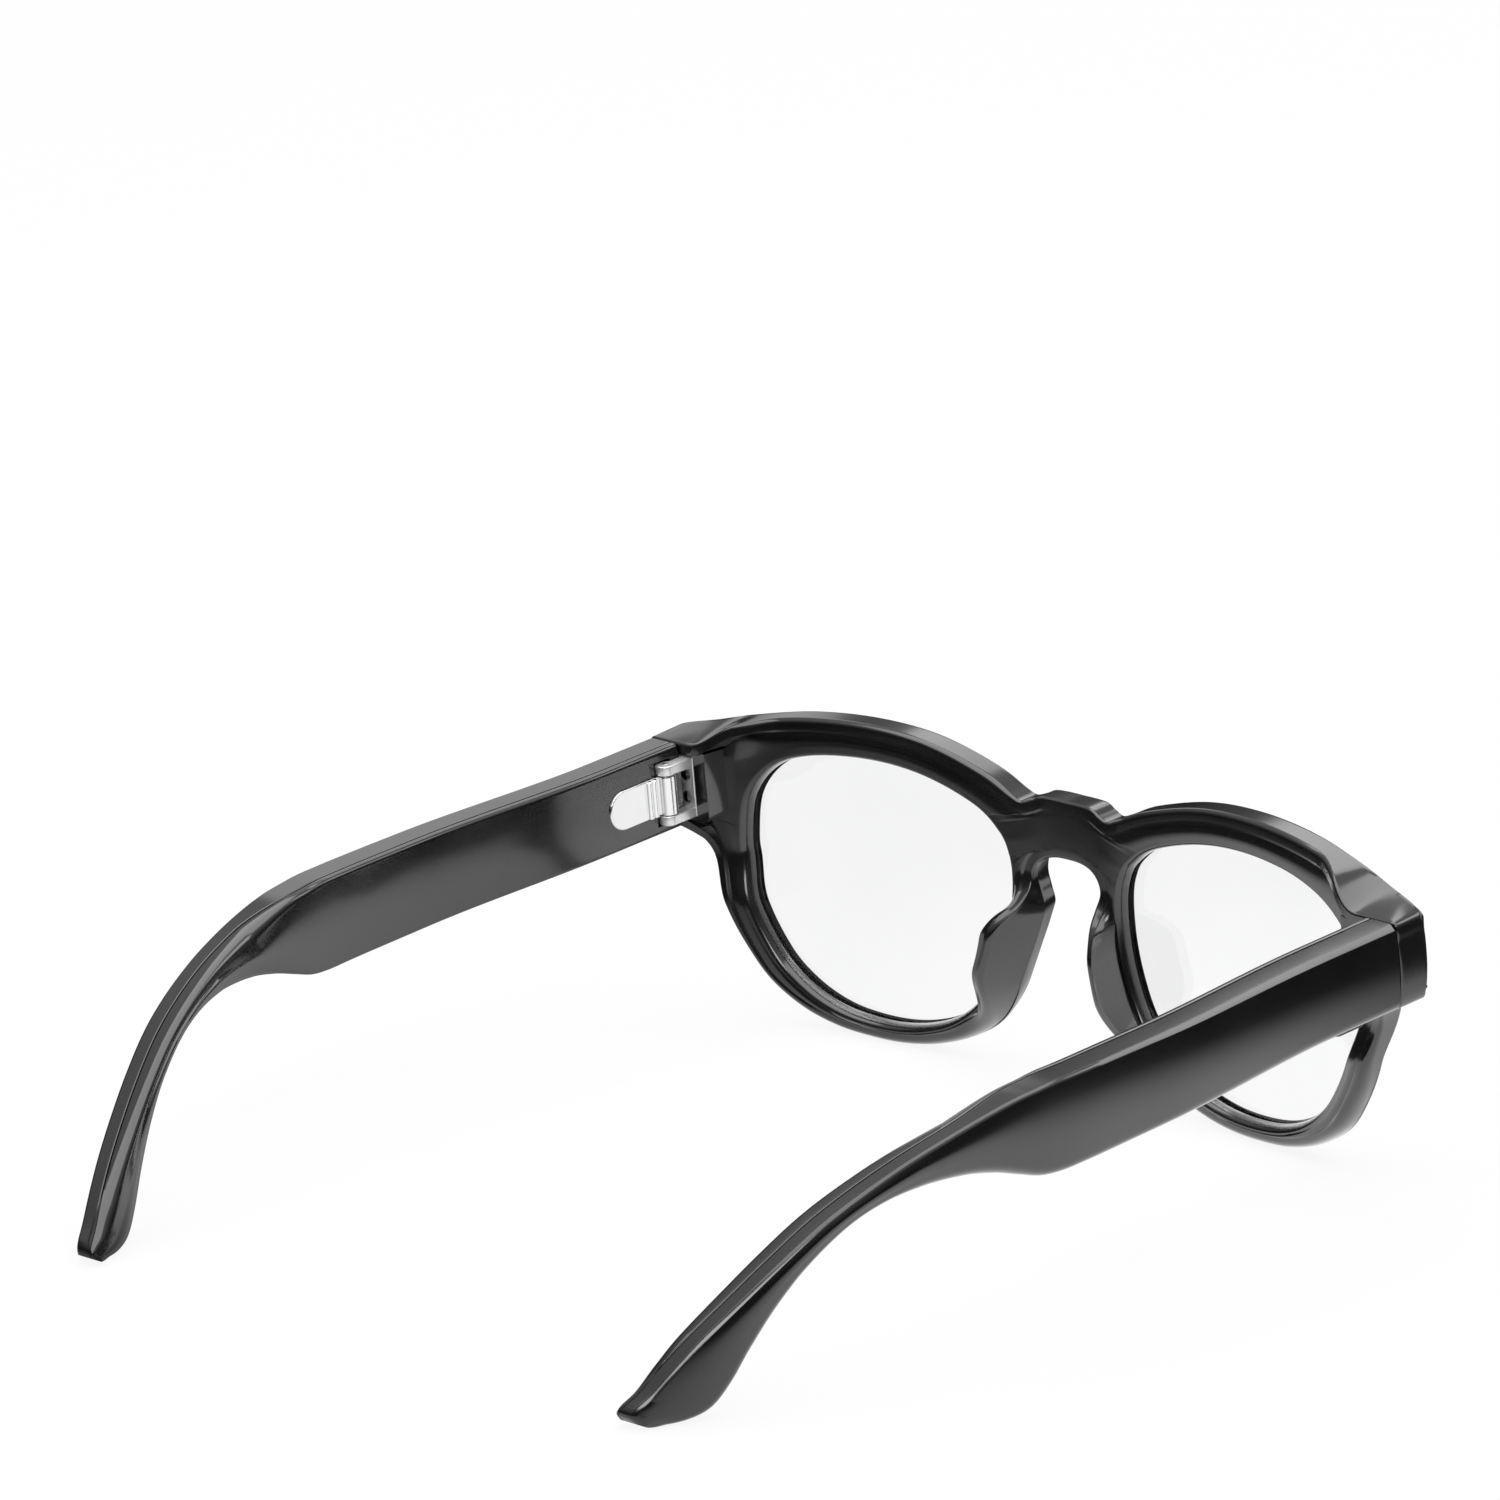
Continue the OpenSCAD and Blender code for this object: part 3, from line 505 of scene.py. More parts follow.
def new_finish(name, colour, low, high, scale=60.0, fine_scale=900.0, bump=0.0, second=None, **sockets):
    # A Principled finish whose roughness, height and tint come from the shared group
    finish = bpy.data.materials.new(name)
    finish.use_nodes = True
    tree = finish.node_tree
    shader = tree.nodes["Principled BSDF"]
    wear = tree.nodes.new("ShaderNodeGroup")
    wear.node_tree = handling
    feed(tree, wear, Scale=scale, Fine_Scale=fine_scale, Low=low, High=high)
    feed(tree, shader, Roughness=wear.outputs["Roughness"], Base_Color=(*colour, 1), **sockets)
    if second:
        tint = add_ramp(tree, wear.outputs["Mask"], (TINT_START, colour), (TINT_END, second))
        feed(tree, shader, Base_Color=tint)
    if bump:
        relief = tree.nodes.new("ShaderNodeBump")
        feed(tree, relief, Strength=bump, Distance=RELIEF, Height=wear.outputs["Height"])
        feed(tree, shader, Normal=relief.outputs["Normal"])
    return finish


def clear_finish(name, colour, ior, second):
    # Clear plastic or glass that lets light through to what is behind it
    finish = new_finish(name, colour, 0.0, 0.02, scale=40, second=second, IOR=ior, Transmission_Weight=1.0)
    tree = finish.node_tree
    through = tree.nodes.new("ShaderNodeBsdfTransparent")
    feed(tree, through, Color=(0.96, 0.96, 0.96, 1))
    path = tree.nodes.new("ShaderNodeLightPath").outputs
    surface = blend_shaders(tree, path["Is Shadow Ray"], tree.nodes["Principled BSDF"], through)
    feed(tree, tree.nodes["Material Output"], Surface=surface)
    return finish


gloss_black = new_finish("gloss_black_plastic", (0.004, 0.004, 0.0045), 0.15, 0.19, scale=35,
                         second=(0.007, 0.007, 0.0075), Specular_IOR_Level=0.65, Coat_Weight=1.0,
                         Coat_Roughness=0.12)
button_black = new_finish("button_black_plastic", (0.012, 0.012, 0.013), 0.22, 0.32, fine_scale=4000,
                          bump=0.06, second=(0.018, 0.018, 0.019))
matt_black = new_finish("matt_black_plastic", (0.012, 0.012, 0.012), 0.42, 0.6, fine_scale=5000, bump=0.15,
                        second=(0.022, 0.022, 0.022))
barrel_black = new_finish("camera_barrel_black", (0.003, 0.003, 0.003), 0.4, 0.5,
                          second=(0.005, 0.005, 0.005), Specular_IOR_Level=0.15)
chrome = new_finish("polished_hinge_steel", (0.90, 0.90, 0.91), 0.10, 0.2, scale=120, fine_scale=3000,
                    bump=0.02, second=(0.95, 0.95, 0.95), Metallic=1.0)
satin_steel = new_finish("satin_hinge_steel", (0.86, 0.86, 0.87), 0.30, 0.4, scale=120, fine_scale=3000,
                         bump=0.02, second=(0.92, 0.92, 0.92), Metallic=0.8)
bezel_metal = new_finish("bezel_metal", (0.55, 0.55, 0.57), 0.16, 0.26, scale=150, fine_scale=3000, bump=0.02,
                         second=(0.65, 0.65, 0.67), Metallic=1.0)
lens_clear = clear_finish("clear_lens", (0.935, 0.937, 0.94), 1.5, (0.955, 0.956, 0.957))
camera_cover_glass = clear_finish("camera_cover_glass", (0.75, 0.77, 0.80), 1.5, (0.80, 0.82, 0.84))
light_cover_glass = clear_finish("light_cover_glass", (0.96, 0.96, 0.93), 1.46, (0.98, 0.98, 0.95))
circuit_green = new_finish("circuit_board", (0.012, 0.07, 0.035), 0.35, 0.5, scale=300, bump=0.1,
                           second=(0.02, 0.10, 0.05))
reflector_cream = new_finish("reflector_cream", (0.90, 0.88, 0.62), 0.25, 0.35, scale=200,
                             second=(0.93, 0.91, 0.7))
chip_yellow = new_finish("light_chip_yellow", (0.90, 0.76, 0.05), 0.4, 0.5, scale=900, bump=0.1,
                         second=(0.94, 0.84, 0.12))
battery_foil = new_finish("battery_foil", (0.28, 0.29, 0.31), 0.3, 0.45, scale=80, bump=0.2,
                          second=(0.36, 0.37, 0.39), Metallic=0.7)
speaker_cloth = new_finish("speaker_mesh_cloth", (0.02, 0.02, 0.02), 0.6, 0.8, fine_scale=9000, bump=0.5,
                           second=(0.05, 0.05, 0.05))
flex_amber = new_finish("flex_amber", (0.45, 0.20, 0.04), 0.25, 0.4, second=(0.55, 0.27, 0.06))
contact_gold = new_finish("contact_gold", (0.80, 0.58, 0.25), 0.16, 0.28, scale=300, bump=0.03,
                          second=(0.86, 0.66, 0.32), Metallic=1.0)


def make_dome_finish_with_highlight():
    # The camera's inner lens: a dark dome whose coating turns from blue to violet with the angle, and whose
    # pale blue centre, where it faces the view, is a painted highlight
    finish = new_finish("camera_dome_coating_and_painted_highlight", (0.02, 0.06, 0.30), 0.03, 0.06, scale=400,
                        Specular_IOR_Level=0.9)
    tree = finish.node_tree
    facing = tree.nodes.new("ShaderNodeLayerWeight")
    feed(tree, facing, Blend=0.45)
    # Painted highlight: the bright pale blue stop at the facing end stands in for a glint on the dome; the
    # blues and violet after it are the coating's own colour
    painted_highlight_blue = (0.0, (0.10, 0.32, 0.85))
    deep_blue = (0.12, (0.015, 0.06, 0.40))
    violet = (0.5, (0.18, 0.04, 0.40))
    tint = add_ramp(tree, facing.outputs["Facing"], painted_highlight_blue, violet, deep_blue)
    feed(tree, tree.nodes["Principled BSDF"], Base_Color=tint)
    return finish


dome_coating_and_highlight = make_dome_finish_with_highlight()

# Lens shape: share of the half width, share of the half height, and width of the rim outside that point
lens_c = Vector((lens_gap / 2 + lens_w / 2, rim_low + lens_h / 2))
hub = lens_c + Vector((0, hub_rise))
lens_keys = [
    (1.00, 0.22, 6.7), (0.944, 0.57, 8), (0.763, 0.827, 8.05), (0.494, 0.954, 5.95), (0.08, 1.0, 5.5),
    (-0.327, 0.962, 5.5), (-0.712, 0.832, 5.7), (-0.90, 0.679, 7.2), (-0.976, 0.527, 6), (-1.0, 0.333, 4.4),
    (-0.98, 0.045, 5), (-0.925, -0.217, 4.5), (-0.837, -0.465, 4.3), (-0.702, -0.683, 4.1),
    (-0.525, -0.848, 3.6), (-0.322, -0.947, 3.4), (-0.11, -0.994, rim_low), (0.11, -0.994, rim_low),
    (0.325, -0.951, 3.55), (0.525, -0.847, 4.0), (0.70, -0.678, 4.5), (0.83, -0.457, 4.65),
    (0.925, -0.215, 4.8), (0.986, 0.04, 5.3),
]
LENS_STEPS = 16


def lens_key(i):
    share_x, share_z, _ = lens_keys[i % len(lens_keys)]
    return lens_c + Vector((share_x * lens_w / 2, share_z * lens_h / 2))


def rim_key(i):
    along = (lens_key(i + 1) - lens_key(i - 1)).normalized()
    return lens_key(i) + Vector((along.y, -along.x)) * lens_keys[i][2]


def turn_of(p):
    return math.atan2(p.y - hub.y, p.x - hub.x)


lens_edge = closed_curve([lens_key(i) for i in range(len(lens_keys))], LENS_STEPS)
lens_polar = sorted((turn_of(p) % FULL, (p - hub).length) for p in lens_edge)
lens_turns = [a for a, _ in lens_polar]


def lens_at(turn, grow):
    # The lens opening's edge in that direction from the hub, made larger by grow
    a = turn % FULL
    n = len(lens_polar)
    k = bisect_right(lens_turns, a)
    a0, r0 = lens_polar[(k - 1) % n]
    a1, r1 = lens_polar[k % n]
    share = ((a - a0) % FULL) / ((a1 - a0) % FULL)
    r = mix(r0, r1, share) + grow
    return hub + Vector((math.cos(turn), math.sin(turn))) * r


# Outer edge of the front, from the top of the bridge round the end piece and the rim to the arch
nose_corner = rim_key(7)
outline_keys = [
    Vector((0, bridge_top)), Vector((4.7, bridge_top)), nose_corner + Vector((-1.9, 0.5)), nose_corner,
    nose_corner + Vector((2.1, 0.7)),
]
outline_keys += [rim_key(i) for i in (6, 5, 4, 3, 2)]
outline_keys += [Vector(p) for p in (
    (half_w - 8, end_top + 1.75), (half_w - 1, end_top + 0.1), (half_w - 0.2, end_mid + 3.2),
    (half_w, end_mid), (half_w - 0.2, end_mid - 3.2), (half_w - 1, end_low + 0.1),
    (half_w - 2.7, end_low - 0.1), (half_w - 4.6, end_low - 0.6), (half_w - 6.4, end_low - 2.2))]
outline_keys += [rim_key(0) + Vector((-1.1, -2.6))]
outline_keys += [rim_key(i) for i in range(22, 10, -1)]
outline_keys += [Vector((pad_half_gap + dx, arch_top - dz)) for dx, dz in (
    (0.9, 11.2), (0, 8.4), (0.7, 5.9), (1.3, 3.8), (0.8, 2), (-0.7, 0.7), (-2.9, 0.1))]
outline_keys += [Vector((0, arch_top))]
OUTLINE_STEPS = 8
edge = open_curve(outline_keys, OUTLINE_STEPS)
edge_n = len(edge)

# Points up the middle of the bridge close the ring
MID_POINTS = 6
MID_LOW = 0.22
MID_SPAN = 0.56
ring = list(edge)
for k in range(1, MID_POINTS + 1):
    ring.append(Vector((0, mix(arch_top, bridge_top, MID_LOW + MID_SPAN * k / (MID_POINTS + 1)))))
ring_n = len(ring)


def edge_inward(i):
    if i >= edge_n:
        return Vector((0, 0))
    if i == 0:
        return Vector((0, -1))
    if i == edge_n - 1:
        return Vector((0, 1))
    along = (edge[i + 1] - edge[i - 1]).normalized()
    return Vector((along.y, -along.x))


inward = [edge_inward(i) for i in range(ring_n)]


def inset_line(distances):
    # The outline moved inwards; where it would fold over itself at a corner, the points meet in a mitre
    line = [p + n * d for p, n, d in zip(ring, inward, distances)]
    i = 0
    while i < edge_n - 1:
        j = i
        while j < edge_n - 1 and (line[j + 1] - line[j]).dot(ring[j + 1] - ring[j]) <= 0:
            j += 1
        if j > i:
            first = max(i - 1, 0)
            last = min(j + 1, edge_n - 1)
            start = line[first].copy()
            end = line[last].copy()
            for k in range(first, last + 1):
                line[k] = start.lerp(end, (k - first) / (last - first))
        i = j + 1
    return line


# Direction of each ring point seen from the hub, always falling
LEAST_TURN = math.radians(0.04)
MOST_BACK = math.radians(20)
ring_turns = [turn_of(ring[0])]
for p in ring[1:]:
    step = (turn_of(p) - ring_turns[-1] - MOST_BACK) % FULL - FULL + MOST_BACK
    ring_turns.append(ring_turns[-1] + min(step, -LEAST_TURN))


# Depth of the front: swept back to the ends, and full at the bridge inside a slanting crease
def crease_x(z):
    return mix(crease_low_x, crease_high_x, (z - crease_low_z) / crease_rise)


def wrap_y(x):
    return wrap_depth * (abs(x) / half_w) ** wrap_power


def side_y(p):
    return wrap_y(p.x) - bridge_bulge * max(0.0, 1 - (p.x / crease_x(p.y)) ** 2)


def face_y(p):
    return side_y(p) - front_chamfer


def rim_back_y(x):
    return wrap_y(x) - bridge_bulge * max(0.0, 1 - (x / bridge_half) ** 2) - front_chamfer + rim_t


def lip_y(p):
    # The back edge reaches from the rims to the seam with the temples, sooner above than below
    lip_in = upper_lip_in if p.y > end_mid else lower_lip_in
    lip_run = upper_lip_run if p.y > end_mid else lower_lip_run
    return mix(rim_back_y(p.x), seam_y, smooth((p.x - half_w + lip_in) / lip_run))


# The rims lean back below the brow, and the end pieces stay upright
def lean_y(p):
    beside = smooth((p.x - half_w + upright_in) / upright_run)
    kept = beside * smooth((p.y - end_low + upright_drop) / upright_rise)
    return math.tan(rim_lean) * (brow_z - p.y) * (1 - kept)


def leaned(places):
    return [v + Vector((0, lean_y(Vector((v.x, v.z))), 0)) for v in places]


# Nose pads: ridges behind the rims beside the nose, which slope away from it towards the back
def pad_share_at(p):
    if p.x > lens_c.x:
        return 0.0
    return smooth((p.y - pad_low) / pad_run_out) * smooth((pad_high - p.y) / pad_run_in)


def nose_share_at(p):
    if p.x > lens_c.x or p.y > arch_top:
        return 0.0
    return smooth(p.x / pad_half_gap) * smooth((p.y - pad_low) / pad_run_out)


def off_bridge(x):
    return smooth((x - brow_start_x) / brow_start_run)


def back_round_at(p):
    # Rounder along the brow than at the bridge and the end pieces
    plain = max(smooth((p.x - brow_end_x) / brow_end_run), 1 - off_bridge(p.x))
    return mix(brow_round, back_bevel, plain)


def end_fall_at(p):
    # Behind the brow, the top of each end piece falls to the height of the temple
    above = p.y - temple_top - 0.05 if p.y > end_mid else 0.0
    return max(above, 0.0) * smooth((p.x - half_w + end_fall_in) / end_fall_run)


pad_share = [pad_share_at(p) for p in ring]
nose_y = [nose_set_back * nose_share_at(p) for p in ring]
low_share = [smooth((end_low - p.y) / low_run) * (1 - w) for p, w in zip(ring, pad_share)]
back_round = [back_round_at(p) for p in ring]
crisp = [smooth((p.y - crisp_z) / crisp_run) for p in ring]
end_fall = [end_fall_at(p) for p in ring]
lens_side = [lens_at(turn, 0) for turn in ring_turns]
rim_width = [(q - p).length for q, p in zip(lens_side, ring)]


def opening_ring(grow, depth, sagging=0.0):
    places = []
    for i, turn in enumerate(ring_turns):
        p = lens_at(turn, grow)
        places.append(Vector((p.x, face_y(p) + depth + sagging * soft_sag * (1 - crisp[i]), p.y)))
    return places


def edge_ring(insets, pad_ins, depth_of, fall=1.0):
    # A loop inside the outline; along the nose pads it is measured on the line from the outline to the lens
    places = []
    for i, p in enumerate(inset_line(insets)):
        on_pad = ring[i].lerp(lens_side[i], pad_ins[i] / rim_width[i])
        p = p.lerp(on_pad, pad_share[i])
        places.append(Vector((p.x, depth_of(i, p), p.y - fall * end_fall[i])))
    return places


def from_lens(distance):
    return [width - distance for width in rim_width]


def step_depth(i, p):
    return rim_back_y(p.x) + pad_depth * pad_share[i]


def rear_depth(i, p):
    return lip_y(ring[i]) + pad_depth * pad_share[i]


def back_round_ring(share):
    # One loop across the outer back edge, which is rounder along the brow, along the pads and below
    a = share * math.pi / 2
    insets = [mix(r, end_wall - 0.05, low) * (1 - math.sin(a)) for r, low in zip(back_round, low_share)]
    drops = []
    for r, w, low in zip(back_round, pad_share, low_share):
        drops.append((r + pad_round * max(w, low) + low_round * low) * (1 - math.cos(a)))
    pad_ins = from_lens(mix(pad_ridge, pad_edge, math.sin(a)))
    return edge_ring(insets, pad_ins, lambda i, p: rear_depth(i, p) - drops[i])


def wall_ring(share):
    # One loop across the outer wall, from the rounded back edge to the front edge
    back = back_round_ring(1)
    pad_ins = [d * (1 - share) for d in from_lens(pad_edge)]

    def depth_of(i, p):
        return mix(back[i].y, side_y(ring[i]) + nose_y[i], share)

    return edge_ring([0] * ring_n, pad_ins, depth_of, 1 - share)


def bevel_ring(share):
    # One loop across the front edge: a crisp chamfer above, which turns into a rounding below
    part = min(max(share, 0.0), 1.0)
    a = part * math.pi / 2
    insets = [mix(soft_edge * (1 - math.cos(a)), front_chamfer * max(share, 0.0), c) for c in crisp]
    places = []
    for i, p in enumerate(inset_line(insets)):
        crisp_y = side_y(ring[i]) + nose_y[i] * (1 - part) - front_chamfer * min(share, 1.0)
        if share >= 1:
            crisp_y = face_y(p)
        soft_y = face_y(p) + soft_sag + (soft_edge + nose_y[i]) * (1 - math.sin(a))
        places.append(Vector((p.x, mix(soft_y, crisp_y, crisp[i]), p.y)))
    return places


# Loops across the front face lie on both sides of the crease beside the bridge
LEAST_SHARE = 0.03
FAR_SHARE = 0.45
HALVINGS = 30


def crease_share(p, q):
    # Where the line from the outer edge to the opening crosses the crease
    if abs(p.x) >= crease_x(p.y):
        return None
    low, high = 0.0, 1.0
    for _ in range(HALVINGS):
        middle = (low + high) / 2
        m = p.lerp(q, middle)
        if abs(m.x) < crease_x(m.y):
            low = middle
        else:
            high = middle
    return min(max(low, LEAST_SHARE), 1 - LEAST_SHARE)


def crease_shares(outer, inner):
    # The same for the whole ring, with an even change where a line doesn't cross the crease
    shares = [crease_share(Vector((a.x, a.z)), Vector((b.x, b.z))) for a, b in zip(outer, inner)]
    near = 4 * OUTLINE_STEPS

    def crosses(i):
        return shares[i % ring_n] is not None

    full = []
    for i, share in enumerate(shares):
        if share is None:
            away = next((k for k in range(1, near) if crosses(i + k) or crosses(i - k)), near)
            share = mix(LEAST_SHARE, FAR_SHARE, smooth(away / near))
        full.append(share)
    return full


CROWN_SHARES = (0.2, 0.4, 0.6, 0.8)


def opening_loops():
    # Through the opening: past the ledge and the lens groove to the rounded back edge.
    # Each loop has its way out from the lens edge, its depth and its share of the face's sag.
    loops = []
    for grow, depth, sagging in (
            (ledge_w + 0.12, 0, 1), (ledge_w + 0.04, 0.03, 1), (ledge_w, 0.12, 1), (ledge_w - 0.02, 0.24, 1),
            (ledge_w - 0.1, 0.3, 1), (0.08, ledge_depth - 0.24, 0), (0, ledge_depth - 0.16, 0),
            (0, ledge_depth - 0.04, 0), (groove_depth, ledge_depth, 0), (groove_depth, groove_back, 0),
            (0, groove_back + 0.04, 0), (0, groove_back + 0.2, 0)):
        loops.append(opening_ring(grow, depth, sagging))
    for k in range(6):
        a = k / 5 * math.pi / 2
        depth = mix(groove_back + 0.3, rim_t, math.sin(a))
        loops.append(opening_ring(opening_round * (1 - math.cos(a)), depth))
    return loops


def back_loops():
    # Across the slightly crowned back of the rims, up the lip and round the outer edge
    inner = opening_ring(opening_round + 0.15, rim_t)
    outer = edge_ring([end_wall + lip_step + 0.05] * ring_n, from_lens(0.45), step_depth)
    loops = [inner]
    for t in CROWN_SHARES:
        places = []
        for a, b, pad in zip(inner, outer, pad_share):
            p = a.lerp(b, t)
            crown = back_crown * 4 * t * (1 - t) * off_bridge(p.x) * (1 - pad)
            p.y = rim_back_y(p.x) + pad_depth * pad * t + crown
            places.append(p)
        loops.append(places)
    loops.append(outer)
    for inset, share, away in (
            (end_wall + lip_step, 0.06, 0.5), (end_wall + 0.06, 0.94, 0.9), (end_wall, 1.0, 1.0)):
        loops.append(edge_ring([inset] * ring_n, from_lens(away),
                               lambda i, p: mix(step_depth(i, p), rear_depth(i, p), share)))
    for k in range(7):
        loops.append(back_round_ring(k / 6))
    return loops


def face_loops(outer, inner):
    # Across the front face: shares of the way from the outer edge to the crease, and on to the opening
    loops = []
    shares = crease_shares(outer, inner)
    for before, after in (
            (0.25, 0), (0.5, 0), (0.75, 0), (0.93, 0), (1, 0.03), (1, 0.25), (1, 0.5), (1, 0.75)):
        places = []
        for a, b, share, c in zip(outer, inner, shares, crisp):
            t = share * before + (1 - share) * after
            p = a.lerp(b, t)
            sag = soft_sag * (1 - c) * (2 * t - 1) ** 2
            p.y = face_y(Vector((p.x, p.z))) + sag
            places.append(p)
        loops.append(places)
    return loops


def front_shape():
    loops = opening_loops() + back_loops()
    loops += [wall_ring(share) for share in (0.06, 0.3, 0.6, 0.9)]
    loops += [bevel_ring(share) for share in (-0.08, 0.06, 0.18, 0.5, 0.82, 0.94, 1.02, 1.1)]
    loops += face_loops(loops[-1], loops[0])
    bm = bmesh.new()
    grow_rings(bm, [leaned(places) for places in loops + loops[:1]])
    bmesh.ops.remove_doubles(bm, verts=bm.verts, dist=MERGE)
    middle = [f for f in bm.faces if all(abs(v.co.x) < 2 * MERGE for v in f.verts)]
    bmesh.ops.delete(bm, geom=middle, context="FACES")
    bmesh.ops.mirror(bm, geom=bm.verts[:] + bm.edges[:] + bm.faces[:], axis="X", merge_dist=4 * MERGE)
    tidy(bm)
    return bm


# Camera and light: local axes with the front surface at y = 0 and the outside at -y
def eye_place():
    slope = 2.0
    rise = face_y(Vector((eye_x + slope, eye_z))) - face_y(Vector((eye_x - slope, eye_z)))
    turn = math.atan2(rise, 2 * slope) / 2
    place = Matrix.Translation((eye_x, face_y(Vector((eye_x, eye_z))), eye_z))
    return place @ Matrix.Rotation(turn, 4, "Z")


EYE = eye_place()


def at_eye(bm):
    bmesh.ops.transform(bm, matrix=EYE, verts=bm.verts)
    return bm


def eye_bore():
    bore_r = bezel_r + bezel_fit
    ahead = -5
    behind = rim_t + 1.4
    return at_eye(lathe([(0, ahead), (bore_r, ahead), (bore_r, behind), (0, behind)]))


front = make_piece("front", front_shape(), gloss_black, "front", ["front_frame"])
for side in SIDES:
    carve(front, eye_bore(), side)
polish(front)

# Lenses, with the edge that sits in the groove blackened
LENS_POINTS = 240
FACE_SHARES = (0.02, 0.15, 0.3, 0.45, 0.6, 0.75, 0.88, 1)


def lens_shape():
    front_depth = ledge_depth + 0.1
    bevel = 0.2
    face = [(share, 0, 0) for share in FACE_SHARES]
    seat = [(1, lens_seat - bevel, 0), (1, lens_seat, bevel), (1, lens_seat, lens_t - bevel),
            (1, lens_seat - bevel, lens_t)]
    back = [(share, 0, lens_t) for share in reversed(FACE_SHARES)]
    loops = []
    for share, grow, depth in face + seat + back:
        places = []
        for k in range(LENS_POINTS):
            p = hub.lerp(lens_at(-k / LENS_POINTS * FULL, grow), share)
            places.append(Vector((p.x, face_y(p) + front_depth + depth, p.y)))
        loops.append(leaned(places))
    bm = bmesh.new()
    rings = grow_rings(bm, loops)
    cap_ring(bm, rings[0])
    cap_ring(bm, rings[-1])
    bmesh.ops.recalc_face_normals(bm, faces=bm.faces)
    seated = {vert for ring_verts in rings[len(face):-len(back)] for vert in ring_verts}
    for lens_face in bm.faces:
        lens_face.material_index = int(seated.issuperset(lens_face.verts))
    return bm


for side in SIDES:
    lens = make_piece(f"{side}_lens_clear", lens_shape(), lens_clear, "front", [f"{side}_lens"], side)
    lens.data.materials.append(barrel_black)
    polish(lens)

# Profiles of the camera in the right end piece and of the light in the left one
bezel_in = bezel_r - bezel_t
bezel_profile = [
    (bezel_in, 2.0), (bezel_in, 0.1), (bezel_r - 0.38, -0.12), (bezel_r - 0.3, -0.26),
    (bezel_r - 0.2, -0.32), (bezel_r - 0.1, -0.28), (bezel_r - 0.02, -0.16), (bezel_r, 0.0), (bezel_r, 2.0),
    (bezel_in, 2.0),
]
window_profile = [
    (0, -0.42), (0.7, -0.41), (1.4, -0.37), (2.0, -0.31), (2.5, -0.24), (window_r - 0.06, -0.18),
    (window_r, -0.1), (window_r, 0.2), (window_r - 0.05, 0.25), (0, 0.25),
]
inside_r = window_r - 0.02
barrel_profile = [
    (inside_r, 0.5), (inside_r, 4.0), (1.15, 4.0), (1.15, 1.5), (1.3, 1.42), (1.5, 1.4), (1.52, 1.2),
    (1.85, 1.15), (1.87, 0.95), (2.2, 0.9), (2.22, 0.7), (2.5, 0.64), (2.55, 0.5), (inside_r, 0.5),
]
inner_lens_profile = [
    (0, 0.95), (0.3, 0.97), (0.6, 1.05), (0.85, 1.18), (1.05, 1.36), (1.1, 1.45), (1.1, 3.0), (0, 3.0),
]
cup_profile = [
    (inside_r, 0.5), (inside_r, 4.0), (1.3, 4.0), (1.3, 1.0), (1.22, 0.92), (1.15, 0.95),
    (1.1, 0.88), (1.2, 0.8), (1.5, 0.76), (2.2, 0.62), (2.3, 0.55), (2.45, 0.5), (inside_r, 0.5),
]


def eye_piece(name, profile, finish, node, side):
    return polish(make_piece(name, at_eye(lathe(profile)), finish, "front", [node], side))


eye_piece("camera_ring", bezel_profile, bezel_metal, "camera_bezel", "right")
eye_piece("camera_cover", window_profile, camera_cover_glass, "camera_window", "right")
eye_piece("camera_tube", barrel_profile, barrel_black, "camera_barrel", "right")
eye_piece("camera_dome", inner_lens_profile, dome_coating_and_highlight, "camera_lens", "right")
eye_piece("light_ring", bezel_profile, chrome, "light_bezel", "left")
eye_piece("light_cover", window_profile, light_cover_glass, "light_window", "left")


def light_cup_shape():
    # The reflector, with a dark flange round it
    bm = lathe(cup_profile)
    for face in bm.faces:
        middle = face.calc_center_median()
        face.material_index = int(math.hypot(middle.x, middle.z) > cup_flange_r)
    return at_eye(bm)


light_cup = make_piece("light_cup", light_cup_shape(), reflector_cream, "front",
                       ["light_reflector"], "left")
light_cup.data.materials.append(barrel_black)
polish(light_cup)
light_dot = at_eye(block((-chip_half, 0.85, -chip_half), (chip_half, 1.6, chip_half), 0.25))
polish(make_piece("light_dot", light_dot, chip_yellow, "front", ["light_chip"], "left"))


# Hinges
def knuckle_outline(steps=40):
    # A knuckle with the web that carries it from the plate, in x and y
    points = []
    start = math.radians(-10)
    end = math.radians(190)
    for k in range(steps + 1):
        a = mix(start, end, k / steps)
        points.append((pin_x + knuckle_r * math.cos(a), pin_y + knuckle_r * math.sin(a)))
    web_x = leaf_back - 0.6
    web_y = block_back + 0.1
    points += [(pin_x - knuckle_r, web_y), (web_x, web_y), (web_x, pin_y - 1.4)]
    return points


def front_leaf_shape():
    low = hinge_z - knuckle_mid_h / 2 - knuckle_gap - knuckle_end_h
    high = hinge_z + knuckle_mid_h / 2 + knuckle_gap
    top = high + knuckle_end_h
    plate = block((pin_x - plate_in, block_back, low), (pin_x + knuckle_r, plate_back, top), metal_edge)
    lower = prism(knuckle_outline(), low, low + knuckle_end_h, metal_edge)
    upper = prism(knuckle_outline(), high, top, metal_edge)
    return joined(plate, lower, upper)


